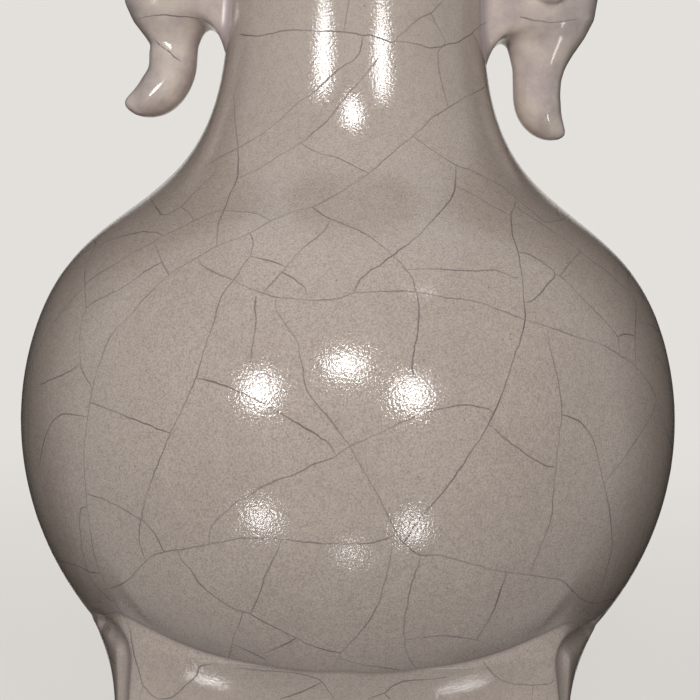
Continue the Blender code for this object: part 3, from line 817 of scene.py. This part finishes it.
def handle_piece(side):
    """A moulded handle flowed onto the neck and turned to its own side."""
    made = moulded_handle(side)
    mesh = made.data
    spots, root = flow_onto_neck(read_vectors(mesh, "co"), read_vectors(mesh, "normal"))
    spots[:, 0] *= FACING[side]
    if FACING[side] < 0:
        mesh.flip_normals()
    mesh.vertices.foreach_set("co", spots.ravel())
    mesh.update()
    mesh.shade_smooth()
    # Painted shade with pooled glaze where the handle meets the neck
    set_attribute(made, "pool_and_shade", root)
    return made


def flow_onto_neck(spots, normals):
    """Spreads the handle's root over the neck in a fillet, and ends it inside the neck's wall.
    Also gives the share of painted shade and pooled glaze on the handle next to the neck.
    """
    around = np.hypot(spots[:, 0], spots[:, 1])
    neck = belly_radius(spots[:, 2])
    away = around - neck
    outward = np.stack([spots[:, 0] / around, spots[:, 1] / around, np.zeros(len(spots))], 1)
    sideways = normals - outward * np.sum(normals * outward, 1, keepdims=True)
    length = np.linalg.norm(sideways, axis=1, keepdims=True)
    sideways = sideways / np.maximum(length, 1e-9) * soft_step(length, 0.15, 0.6)
    near = np.clip(FILLET - away, 0, FILLET)
    spread = FILLET - np.sqrt(FILLET ** 2 - near ** 2)
    spots = spots + sideways * spread[:, None]
    around = np.hypot(spots[:, 0], spots[:, 1])
    limit = belly_radius(spots[:, 2]) - ROOT_SUNK
    spots[:, :2] *= np.maximum(1.0, limit / around)[:, None]
    return spots, 1 - soft_step(away, 0.0, ROOT_SHADE_AND_POOL)


# The crackle

CRACK_WIDTH = 0.00048  # about 1.5 pixels in the photograph
CRACK_STEP = 0.0009
CRACK_PROUD = 0.00003
CRACK_SWAY = 0.000045  # a crack wavers a little as it runs
CELL = 0.0135  # a new crack starts where the glaze is uncracked this far round
CRACK_EDGE, CRACK_SUNK = 0.9, 0.6  # the sliver's two edges, in its width and in its height
CRACK_STRIDE = 0.0018
CRACK_STRIDES = 260
CRACK_BEND, CRACK_BEND_MOST, CRACK_BEND_CHANGE = 0.012, 0.05, 0.009  # radians to a stride
CRACK_TREMBLE = 0.05
CRACK_MEETS = 0.0019  # a growing crack runs into another one that is this near
CRACK_CUBE = 0.003
CRACK_STARTS = 5200
START_SEED, GROWTH_SEED, LOOKS_SEED = 7, 11, 3
SEEN_FROM = 0.26  # cosine to the eye above which the photograph shows the cracks


def photographed_cracks(camera, tree):
    lines = []
    for text in (BELLY_CRACKS, NECK_CRACKS, FOOT_CRACKS, HANDLE_CRACKS):
        for line in read_lines(text):
            found = [seen_point(camera, tree, x, y) for x, y in smooth_line(line, 2.6)]
            lines.append([pair for pair in found if pair])
    return lines


class CrackField:
    """The cracks so far, in small cubes, so that a growing crack can tell when it meets one."""

    def __init__(self, size):
        self.size = size
        self.cubes = {}

    def key(self, p):
        return tuple(int(np.floor(c / self.size)) for c in p)

    def add(self, p, line):
        self.cubes.setdefault(self.key(p), []).append((Vector(p), line))

    def nearest(self, p, reach, but=None):
        steps = int(reach / self.size) + 1
        kx, ky, kz = self.key(p)
        best, found = reach, None
        for dx in range(-steps, steps + 1):
            for dy in range(-steps, steps + 1):
                for dz in range(-steps, steps + 1):
                    for spot, line in self.cubes.get((kx + dx, ky + dy, kz + dz), ()):
                        if line != but and (spot - p).length < best:
                            best, found = (spot - p).length, spot
        return found


def grow(tree, field, start, normal, heading, line, rng, allowed):
    """A crack from a point over the skin until it meets another crack."""
    spot, up = start, normal
    way = (heading - up * heading.dot(up)).normalized()
    bend = rng.gauss(0, CRACK_BEND)
    run = [(spot, up)]
    for count in range(CRACK_STRIDES):
        bend += rng.gauss(0, CRACK_BEND_CHANGE)
        bend = max(-CRACK_BEND_MOST, min(CRACK_BEND_MOST, bend))
        way = (Matrix.Rotation(bend + rng.gauss(0, CRACK_TREMBLE), 3, up) @ way).normalized()
        place, facing, _, _ = tree.find_nearest(spot + way * CRACK_STRIDE)
        if place is None or not allowed(place, facing):
            break
        if (place - spot).length < CRACK_STRIDE * 0.3:
            break
        way = ((place - spot) - facing * (place - spot).dot(facing)).normalized()
        spot, up = place, facing
        if count > 2:
            met = field.nearest(spot, CRACK_MEETS, line)
            if met:
                run.append((met, up))
                break
        run.append((spot, up))
    return run


def crack_starts(points, normals):
    """Spots all over the skin where a crack may start, in the order in which they are tried."""
    rng = Random(START_SEED)
    spots, facings = points.reshape(-1, 3), normals.reshape(-1, 3)
    drawn = [rng.randrange(len(spots)) for _ in range(CRACK_STARTS)]
    return [(Vector(spots[i]), Vector(facings[i])) for i in drawn]


def grown_cracks(tree, lines, camera, starts):
    """Cracks for the sides and the back, where the photograph doesn't look."""
    rng = Random(GROWTH_SEED)
    field = CrackField(CRACK_CUBE)
    for i, line in enumerate(lines):
        for spot, _ in line:
            field.add(spot, i)
    eye = camera.matrix_world.translation

    def hidden(place, facing):
        return facing.dot((eye - place).normalized()) < SEEN_FROM or off_picture(camera, place)

    grown = []

    def keep(run):
        if len(run) > 4:
            for spot, _ in run:
                field.add(spot, len(lines) + len(grown))
            grown.append(run)

    # The photographed cracks run on past the edge of what the photograph shows
    for line in lines:
        if len(line) < 5:
            continue
        for (spot, up), before in ((line[-1], line[-3]), (line[0], line[2])):
            if hidden(spot, up):
                number = len(lines) + len(grown)
                keep(grow(tree, field, spot, up, spot - before[0], number, rng, hidden))
    for place, facing in starts:
        if not hidden(place, facing) or field.nearest(place, CELL):
            continue
        aside = facing.orthogonal().normalized()
        heading = Matrix.Rotation(rng.uniform(0, pi), 3, facing) @ aside
        number = len(lines) + len(grown)
        one = grow(tree, field, place, facing, heading, number, rng, hidden)
        other = grow(tree, field, place, facing, -heading, number, rng, hidden)
        keep(other[::-1] + one[1:])
    return grown


def laid_route(line, tree):
    """A crack's route laid on the skin in even steps."""
    spots = smooth_line([tuple(p) for p, _ in line], CRACK_STEP)
    placed = [tree.find_nearest(Vector(p))[:2] for p in spots]
    placed = [(p, n) for p, n in placed if p is not None]
    clean = [placed[0]]
    for p, n in placed[1:]:
        if (p - clean[-1][0]).length > CRACK_STEP * 0.35:
            clean.append((p, n))
    return clean


def crack_ribbons(name, lines, tree):
    """Each crack as a sliver of stained glaze let into the surface, thinning to its ends."""
    rng = Random(LOOKS_SEED)
    verts, faces, marks, normals = [], [], [], []
    for line in lines:
        if len(line) < 3:
            continue
        clean = laid_route(line, tree)
        if len(clean) < 4:
            continue
        strength = rng.uniform(0.75, 1.1)
        wobble = rng.uniform(0, 6)
        waver = [rng.uniform(0.5, 1.6) for _ in range(3)]
        start = len(verts)
        total = len(clean)
        for i, (p, n) in enumerate(clean):
            ahead = clean[min(i + 1, total - 1)][0] - clean[max(i - 1, 0)][0]
            aside = n.cross(ahead).normalized()
            end = min(1.0, (min(i, total - 1 - i) + 0.6) / 3.5)
            width = CRACK_WIDTH * (0.86 + 0.14 * sin(i * 0.31 + wobble)) * (0.45 + 0.55 * end)
            sway = sum(sin(i * w + k * 2.1 + wobble) for k, w in enumerate(waver)) * CRACK_SWAY * end
            patchy = 0.8 + 0.2 * sin(i * 0.17 * waver[0] + wobble)
            profile = ((-CRACK_EDGE, -CRACK_SUNK, 0.0), (0.0, 1.0, strength * patchy),
                       (CRACK_EDGE, -CRACK_SUNK, 0.0))
            for shift, rise, mark in profile:
                verts.append(p + aside * (width * shift + sway) + n * CRACK_PROUD * rise)
                marks.append(mark)
                normals.append(n)
        for i in range(total - 1):
            a, b = start + 3 * i, start + 3 * i + 3
            faces += [(a, b, b + 1, a + 1), (a + 1, b + 1, b + 2, a + 2), (a + 2, b + 2, b, a)]
        end = start + 3 * (total - 1)
        faces += [(start, start + 1, start + 2), (end, end + 2, end + 1)]
    made = mesh_piece(name, verts, faces, normals)
    set_attribute(made, "crack", marks)
    return made


# Materials

SAND_GRAIN = 0.00048  # sand of about 0.2 mm in the clay, drawn as coarse as it needs to show
PITS = 0.0007  # pin pits of about 0.3 mm in the gloss, drawn coarse for the same reason
BLOTS = 0.0022  # faint paler blots
SPECK_CELL = 0.0030  # iron specks are about 0.4 mm across, and few cells show one
NECK_CALMS = 0.180, 0.215  # heights between which the glaze changes
FOOT_CALMS = 0.035, 0.055
FOOT_SMOOTHS = 0.036, 0.050
FOOT_LEVELS = 0.035, 0.050
BARE_EDGE = 0.0011, 0.0017
PALE_STAGE = "#E3E0DC"


def linear(code):
    """An sRGB colour code as linear red, green, blue and alpha."""
    parts = [int(code[i:i + 2], 16) / 255 for i in (1, 3, 5)]
    return [c / 12.92 if c <= 0.04045 else ((c + 0.055) / 1.055) ** 2.4 for c in parts] + [1.0]


def add(tree, kind, links=(), **settings):
    """One node with its settings, its inputs' values and its links."""
    made = tree.nodes.new("ShaderNode" + kind)
    for key, value in settings.items():
        setattr(made, key, value)
    for key, value in dict(links).items():
        if isinstance(value, bpy.types.NodeSocket):
            tree.links.new(value, made.inputs[key])
        else:
            made.inputs[key].default_value = value
    return made


def empty_material(name):
    made = bpy.data.materials.new(name)
    made.use_nodes = True
    made.node_tree.nodes.clear()
    return made, made.node_tree


# A MapRange node takes its value at input 0 and the value's range at 1 and 2, and gives the range at
# 3 and 4. A Mix node takes its share at 0 and its two colours at 6 and 7.

def iron_specks(tree, where):
    """1 in the few small spots where iron comes through the glaze."""
    cells = add(tree, "TexVoronoi", {"Vector": where, "Scale": 1 / SPECK_CELL}).outputs
    rare = add(tree, "SeparateColor", {"Color": cells["Color"]}).outputs["Red"]
    chosen = add(tree, "MapRange", {0: rare, 1: 0.68, 2: 0.72}).outputs[0]
    dot = add(tree, "MapRange", {0: cells["Distance"], 1: 0.03, 2: 0.095, 3: 1.0, 4: 0.0}).outputs[0]
    return add(tree, "Math", {0: dot, 1: chosen}, operation="MULTIPLY").outputs[0]


def sand_share(tree, height, grain, sandiness):
    """The sand shows most on the belly, and the thicker glaze of the neck and foot calms it."""
    low, high = NECK_CALMS
    neck = add(tree, "MapRange", {0: height, 1: low, 2: high, 3: 1.0, 4: 0.6}).outputs[0]
    low, high = FOOT_CALMS
    foot = add(tree, "MapRange", {0: height, 1: low, 2: high, 3: 0.6, 4: 1.0}).outputs[0]
    calm = add(tree, "Math", {0: neck, 1: foot}, operation="MULTIPLY").outputs[0]
    sand = add(tree, "MapRange", {0: grain, 1: 0.30, 2: 0.62, 3: sandiness, 4: 0.0}).outputs[0]
    return add(tree, "Math", {0: sand, 1: calm}, operation="MULTIPLY").outputs[0]


def bare_edge(tree, height, clouds):
    """1 on the foot's standing edge, which is wiped bare unevenly and fires brown."""
    ragged = add(tree, "MapRange", {0: clouds, 1: 0.3, 2: 0.7, 3: -0.0006, 4: 0.0006}).outputs[0]
    uneven = add(tree, "Math", {0: height, 1: ragged}, operation="ADD").outputs[0]
    low, high = BARE_EDGE
    return add(tree, "MapRange", {0: uneven, 1: low, 2: high, 3: 1.0, 4: 0.0}).outputs[0]


def glaze_roughness(tree, roughness, height, grain, bare, pool_and_shade_share):
    """Smoother on the foot than on the belly, and dull in the creases where slip shows through."""
    low, high = FOOT_SMOOTHS
    rough = {0: grain, 1: 0.3, 2: 0.7, 3: roughness - 0.04, 4: roughness + 0.05}
    gloss = add(tree, "MapRange", rough).outputs[0]
    dull = add(tree, "MapRange", {0: bare, 3: 0.0, 4: 0.5}).outputs[0]
    smooth = add(tree, "MapRange", {0: height, 1: low, 2: high, 3: -0.045, 4: 0.0}).outputs[0]
    for change in (dull, smooth):
        gloss = add(tree, "Math", {0: gloss, 1: change}, operation="ADD").outputs[0]
    return add(tree, "Math", {0: pool_and_shade_share, 1: 0.40, 2: gloss}, operation="MULTIPLY_ADD").outputs[0]


def stoneware_glaze(name, body, pale, deep, pool_and_shade, roughness, peel, sandiness, cloud):
    """Thick crackled glaze over stoneware. The eye gets a soft grainy gloss, faint clouds, brown pin
    specks where iron comes through, lilac grey where the glaze pools and as painted shade in the
    creases, and dark stained cracks."""
    made, tree = empty_material(name)
    where = add(tree, "TexCoord").outputs["Object"]
    height = add(tree, "SeparateXYZ", {"Vector": where}).outputs["Z"]
    patterns = ((cloud, 3.0, 0.55), (SAND_GRAIN, 1.0, 0.6), (BLOTS, 1.0, 0.5), (PITS, 1.5, 0.55))
    clouds, grain, blots, pits = (
        add(tree, "TexNoise", {"Vector": where, "Scale": 1 / size, "Detail": detail,
                               "Roughness": rough}).outputs["Fac"]
        for size, detail, rough in patterns)
    pool_and_shade_share, crack = (add(tree, "Attribute", attribute_name=mark).outputs["Fac"]
                     for mark in ("pool_and_shade", "crack"))
    bare = bare_edge(tree, height, clouds)
    cloudy = add(tree, "MapRange", {0: clouds, 1: 0.36, 2: 0.64}).outputs[0]
    blotted = add(tree, "MapRange", {0: blots, 1: 0.35, 2: 0.65, 3: 0.0, 4: 0.08}).outputs[0]
    # The pool colour stands for pooled glaze and also for painted shade in the creases
    specks, lilac, stain = (
        add(tree, "Math", {0: mask, 1: share}, operation="MULTIPLY").outputs[0]
        for mask, share in ((iron_specks(tree, where), 1.6 * sandiness), (pool_and_shade_share, 0.75), (crack, 0.86)))
    layers = ((cloudy, pale), (0.55, body), (sand_share(tree, height, grain, sandiness), "#5B4F49"),
              (blotted, "#E4D8CE"), (specks, "#3E2F28"), (lilac, pool_and_shade), (stain, "#565459"),
              (bare, "#5A4234"))
    colour = linear(deep)
    for share, tint in layers:
        colour = add(tree, "Mix", {0: share, 6: colour, 7: linear(tint)}, data_type="RGBA").outputs[2]

    gloss = glaze_roughness(tree, roughness, height, grain, bare, pool_and_shade_share)
    low, high = FOOT_LEVELS
    depth = add(tree, "MapRange", {0: height, 1: low, 2: high, 3: 0.12 * peel, 4: peel}).outputs[0]
    skin = add(tree, "Bump", {"Height": pits, "Distance": depth, "Strength": 1.0}).outputs["Normal"]
    # An open crack has no skin of its own to shine
    shine = add(tree, "MapRange", {0: crack, 1: 0.2, 2: 0.9, 3: 0.5, 4: 0.0}).outputs[0]
    shader = add(tree, "BsdfPrincipled", {"Base Color": colour, "Roughness": gloss, "Normal": skin,
                                          "IOR": 1.52, "Specular IOR Level": shine})
    add(tree, "OutputMaterial", {"Surface": shader.outputs[0]})
    return made


def background_rays(tree):
    """1 for the rays that look at the pale background: the camera's, reflected and refracted ones."""
    path = add(tree, "LightPath").outputs
    seen = path["Is Camera Ray"]
    for kind in ("Is Glossy Ray", "Is Transmission Ray"):
        seen = add(tree, "Math", {0: seen, 1: path[kind]}, operation="MAXIMUM").outputs[0]
    return seen


def pale_stage():
    """Matt pale paper for the camera; a darker one for the light that it gives back."""
    made, tree = empty_material("matt_studio_paper")
    where = add(tree, "TexCoord").outputs["Object"]
    away = add(tree, "VectorMath", {0: where}, operation="LENGTH").outputs["Value"]
    looks = background_rays(tree)
    colour = add(tree, "Mix", {0: looks, 6: linear("#64615E"), 7: linear("#E8E5E1")},
                 data_type="RGBA").outputs[2]
    paper = add(tree, "BsdfDiffuse", {"Color": colour}).outputs[0]
    far = add(tree, "Emission", {"Color": linear(PALE_STAGE), "Strength": 1.0}).outputs[0]
    distance = add(tree, "MapRange", {0: away, 1: 0.20, 2: 0.95, 3: 0.70, 4: 1.0}).outputs[0]
    share = add(tree, "Math", {0: distance, 1: looks}, operation="MULTIPLY").outputs[0]
    mixed = add(tree, "MixShader", {0: share, 1: paper, 2: far}).outputs[0]
    add(tree, "OutputMaterial", {"Surface": mixed})
    return made


LAMPS = {
    # name: point of the vase that it lights squarely, distance, width, height, power
    "left_soft_box": ((260, 393), 1.0, 0.22, 0.30, 3.6),
    "right_soft_box": ((412, 397), 1.0, 0.19, 0.30, 3.1),
    "upper_soft_box": ((345, 365), 1.0, 0.20, 0.17, 2.1),
}
GLINT_DISTANCE = 0.8
GRID_ANGLE = radians(16)
GLINTS = {
    # name: the highlight's two ends in the photograph, the lamp's breadth and glow, who shows it
    "belly_left": ((245, 393), (275, 393), 0.17, 54, "body"),
    "belly_right": ((399, 397), (425, 397), 0.16, 54, "body"),
    "belly_upper": ((328, 366), (363, 366), 0.11, 50, "body"),
    "belly_low_left": ((250, 517), (272, 517), 0.13, 26, "body"),
    "belly_low_right": ((403, 527), (423, 527), 0.13, 28, "body"),
    "belly_low_middle": ((341, 553), (360, 553), 0.07, 16, "body"),
    "belly_shoulder": ((418, 294), (428, 294), 0.06, 16, "body"),
    "neck_left": ((324, -4), (324, 92), 0.17, 22, "neck"),
    "neck_right": ((382, -4), (382, 95), 0.15, 22, "neck"),
    "neck_spot": ((352, 95), (353, 129), 0.14, 26, "neck"),
    "foot_left": ((184, 673), (229, 687), 0.009, 58, "foot"),
    "foot_right": ((435, 693), (489, 679), 0.007, 62, "foot"),
    "left_trunk": ((163, 81), (149, 96), 0.17, 24, "left"),
    "right_trunk": ((564, 20), (562, 27), 0.09, 11, "right"),
}
OVERHEAD_HEIGHT = 1.3
OVERHEAD_SIZE = 1.2
OVERHEAD_POWER = 1.6
BACK_PLACE = (0.0, 1.3, 0.75)
BACK_SIZE = 1.0
BACK_POWER = 11.0
FLAG_BEHIND = 1.00  # a dark card this far behind the vase, just beyond each side of the picture
FLAG_NEAR, FLAG_FADES, FLAG_FAR = 0.36, 1.30, 4.20
FLAG_REACH = 2.40
FLOOR_RINGS = (0.4, 1.2, 4.0)
FLOOR_STEPS = 64
FLOOR_GAP = 0.0002  # between the floor and the standing edge


def studio_floor():
    """A round pale floor under the vase."""
    turns = [2 * pi * k / FLOOR_STEPS for k in range(FLOOR_STEPS)]
    spots = [(0.0, 0.0, -FLOOR_GAP)]
    spots += [(r * cos(a), r * sin(a), -FLOOR_GAP) for r in FLOOR_RINGS for a in turns]
    after = [(k, (k + 1) % FLOOR_STEPS) for k in range(FLOOR_STEPS)]
    faces = [(0, 1 + k, 1 + n) for k, n in after]
    for ring in range(len(FLOOR_RINGS) - 1):
        a, b = 1 + ring * FLOOR_STEPS, 1 + (ring + 1) * FLOOR_STEPS
        faces += [(a + k, b + k, b + n, a + n) for k, n in after]
    floor = mesh_piece("studio_floor", spots, faces)
    floor.data.materials.append(pale_stage())
    floor.visible_shadow = floor.visible_glossy = False
    return floor


def studio_surround():
    """Dim light from all round, with a pale surround for the rays that look at the background."""
    world = bpy.data.worlds.new("studio")
    bpy.context.scene.world = world
    world.use_nodes = True
    tree = world.node_tree
    tree.nodes.clear()
    colour = add(tree, "Mix", {0: background_rays(tree), 6: linear("#5C5A58"), 7: linear(PALE_STAGE)},
                 data_type="RGBA").outputs[2]
    sky = add(tree, "Background", {"Color": colour, "Strength": 1.0})
    add(tree, "OutputWorld", {"Surface": sky.outputs[0]})


def studio(camera, outside, whole, showers):
    """A pale floor and surround, soft light, and lamps whose highlights fall as photographed."""
    floor = studio_floor()
    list(side_flags())
    studio_surround()
    middle, above = Vector((0, 0, EQUATOR)), Vector((0, 0, OVERHEAD_HEIGHT))
    soft_box("overhead_soft_box", above, middle, OVERHEAD_SIZE, OVERHEAD_SIZE, OVERHEAD_POWER)
    back = soft_box("back_soft_box", Vector(BACK_PLACE), middle, BACK_SIZE, BACK_SIZE, BACK_POWER)
    back.visible_glossy = False
    for name, (point, distance, width, height, power) in LAMPS.items():
        spot, way = mirrored(camera, outside, *point)
        made = soft_box(name, spot + way * distance, spot, width, height, power)
        made.visible_glossy = False
    for name, (start, end, breadth, glow, shower) in GLINTS.items():
        skin = whole if shower in FACING else outside
        ends = [mirrored(camera, skin, *point) for point in (start, end)]
        glint(name, *ends, breadth, glow, showers[shower])


def side_flags():
    """A graded card behind the vase on each side, beyond the picture: black beside the picture and
    pale at its outer end. Its mirror image draws soft dark edges down the glaze. It shows in the
    gloss only and takes no light from the vase."""
    card_face, tree = empty_material("graded_black_card")
    where = add(tree, "TexCoord").outputs["Object"]
    aside = add(tree, "SeparateXYZ", {"Vector": where}).outputs["X"]
    aside = add(tree, "Math", {0: aside}, operation="ABSOLUTE").outputs[0]
    shade = add(tree, "MapRange", {0: aside, 1: FLAG_FADES, 2: FLAG_FAR}).outputs[0]
    card = add(tree, "Emission", {"Color": linear(PALE_STAGE), "Strength": shade}).outputs[0]
    add(tree, "OutputMaterial", {"Surface": card})
    outline = ((FLAG_NEAR, -FLAG_REACH), (FLAG_FAR, -FLAG_REACH),
               (FLAG_FAR, FLAG_REACH), (FLAG_NEAR, FLAG_REACH))
    flags = []
    for side, sign in FACING.items():
        corners = [(sign * x, FLAG_BEHIND, z) for x, z in outline]
        flag = mesh_piece(f"{side}_graded_card", corners, [(0, 1, 2, 3)])
        flag.data.materials.append(card_face)
        flag.visible_camera = flag.visible_diffuse = flag.visible_shadow = False
        flags.append(flag)
    return flags


def mirrored(camera, tree, x, y):
    """The point of the skin seen at a point of the photograph, and the way that its gloss looks."""
    found = [seen_point(camera, tree, x + dx, y + dy) for dx in (-1.5, 0, 1.5) for dy in (-1.5, 0, 1.5)]
    spot = found[4][0]
    normal = sum((n for _, n in found), Vector()).normalized()
    sight = (spot - camera.matrix_world.translation).normalized()
    return spot, sight - 2 * sight.dot(normal) * normal


def glint(name, start, end, breadth, glow, showers):
    """A lamp that shows only as a highlight, with its two ends mirrored at two points of the skin."""
    ends = [spot + way * GLINT_DISTANCE for spot, way in (start, end)]
    place, aim = (ends[0] + ends[1]) / 2, (start[0] + end[0]) / 2
    along = ends[1] - ends[0]
    area = pi / 4 * along.length * breadth
    made = soft_box(name, place, aim, along.length, breadth, glow * pi * area)
    facing = (place - aim).normalized()
    level = (along - facing * along.dot(facing)).normalized()
    upright = facing.cross(level)
    made.rotation_euler = Matrix((level, upright, facing)).transposed().to_euler()
    made.visible_diffuse = False
    if name.startswith("belly"):
        # A grid on the lamp leaves no bright rim on the vase's far side; the power makes up for it
        half = GRID_ANGLE / 2
        made.data.spread = GRID_ANGLE
        made.data.energy *= 1 - half / tan(half)
    group = bpy.data.collections.new(f"{name}_shows_on")
    for piece in showers:
        group.objects.link(piece)
    made.light_linking.receiver_collection = group


def soft_box(name, place, aim, width, height, power):
    lamp = bpy.data.lights.new(name, "AREA")
    lamp.shape = "ELLIPSE"
    lamp.size, lamp.size_y = width, height
    lamp.energy = power
    made = bpy.data.objects.new(name, lamp)
    bpy.context.scene.collection.objects.link(made)
    made.location = place
    made.rotation_euler = (aim - place).to_track_quat("-Z", "Y").to_euler()
    made.visible_camera = False
    return made


# Where the glaze pools, and painted shade in the creases

SEAM_SHADE_RISE, SEAM_SHADE_FALL = 0.0065, 0.0007  # painted shade, from the foot's seam up the belly and down
SEAM_LINE = 0.0005
ROOT_BAND = 0.0135  # beside a handle's root, from the vase's middle plane
ROOT_EDGE, ROOT_EDGE_WIDTH = 0.0125, 0.0034
ROOT_LOW, ROOT_FULL = EQUATOR + 0.108, EQUATOR + 0.114
ROOT_MIDDLE, ROOT_HEIGHT = 0.128, 0.022
ROOT_INSIDE = 0.037  # nearer to the vase's axis than this is the inside of the neck


def seam_painted_shade(x, y, z):
    """Painted shade above the foot's seam, darkest towards the corners, with a dark painted line along the crease."""
    turns, lobes = column_angles()
    turn = np.arctan2(x, -y) % (2 * pi)
    above = z - np.interp(turn, turns, seam_height(lobes), period=2 * pi)
    near = np.exp(-(np.maximum(above, 0) / SEAM_SHADE_RISE) ** 2)
    near *= np.exp(-(np.minimum(above, 0) / SEAM_SHADE_FALL) ** 2)
    from_lobe = np.abs((turn + pi / 4) % (pi / 2) - pi / 4)
    near *= 0.24 + 0.36 * soft_step(from_lobe, radians(10), radians(30))
    # A thin line of painted shade along the crease itself
    return near + 0.45 * np.exp(-(above / SEAM_LINE) ** 2)


def root_shade_and_pool(x, y, z):
    """Painted shade, with lilac pooled glaze, on the neck down both edges of a handle's root."""
    root = np.exp(-(np.abs(y) / ROOT_BAND) ** 6) * soft_step(z, ROOT_LOW, ROOT_FULL)
    root *= np.exp(-((z - EQUATOR - ROOT_MIDDLE) / ROOT_HEIGHT) ** 4) * (np.hypot(x, y) > ROOT_INSIDE)
    return 0.30 * (np.exp(-((np.abs(y) - ROOT_EDGE) / ROOT_EDGE_WIDTH) ** 2) * root)


def mark_pool_and_shade(piece, folds=0.0):
    """Marks painted shade above the foot's seam and in its folds, and painted shade with pooled glaze beside the
    handles.
    """
    x, y, z = read_vectors(piece.data, "co").T
    # The folds get painted shade, deepest along their middle
    pool_and_shade_share = seam_painted_shade(x, y, z) + root_shade_and_pool(x, y, z) + 0.9 * folds ** 1.6
    set_attribute(piece, "pool_and_shade", np.clip(pool_and_shade_share, 0, 1))


# The whole vase

def joined_tree(pieces):
    """The skins of all these pieces in one search tree."""
    verts, faces = [], []
    for piece in pieces:
        start = len(verts)
        verts += [v.co.copy() for v in piece.data.vertices]
        faces += [tuple(start + i for i in p.vertices) for p in piece.data.polygons]
    return BVHTree.FromPolygons(verts, faces)


def dress():
    """The dressed vase, and what the studio needs to know of it."""
    camera = make_camera()
    body, neck, foot, points, normals, folds = body_and_foot(camera)
    handles = {side: handle_piece(side) for side in FACING}
    mark_pool_and_shade(body)
    mark_pool_and_shade(neck)
    mark_pool_and_shade(foot, folds)

    # Each pool colour is also the painted shade in the creases, at the foot's seam and at the handles' roots
    grey = stoneware_glaze(
        "crackled_grey_glaze_on_stoneware", body="#BBADA2", pale="#C1B3A9", deep="#B2A39A",
        pool_and_shade="#776B6C", roughness=0.10, peel=0.000060, sandiness=0.40, cloud=0.024)
    cream = stoneware_glaze(
        "thick_cream_glaze_on_stoneware", body="#C9BBB0", pale="#E0D2C6", deep="#9E8E94",
        pool_and_shade="#A5979A", roughness=0.12, peel=0.000012, sandiness=0.15, cloud=0.009)
    for made in (body, neck, foot):
        made.data.materials.append(grey)
    for made in handles.values():
        made.data.materials.append(cream)

    whole = [body, neck, foot] + list(handles.values())
    tree, outside = joined_tree(whole), grid_tree(points)
    lines = photographed_cracks(camera, tree)
    grown = grown_cracks(outside, lines, camera, crack_starts(points, normals))
    cracks = crack_ribbons("crackle_lines", lines + grown, tree)
    cracks.data.materials.append(grey)

    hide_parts("lower_belly", "upper_belly")
    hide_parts("neck")
    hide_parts("lobed_foot")
    for side, made in handles.items():
        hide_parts(f"{side}_handle", f"{side}_front_ear", f"{side}_back_ear")
    for piece in whole + [cracks]:
        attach(piece, "root")
    showers = {"body": (body, cracks), "neck": (neck,), "foot": (foot,)}
    showers.update({side: (made,) for side, made in handles.items()})
    return camera, outside, tree, showers


studio(*dress())
bpy.context.scene.view_settings.view_transform = "Standard"
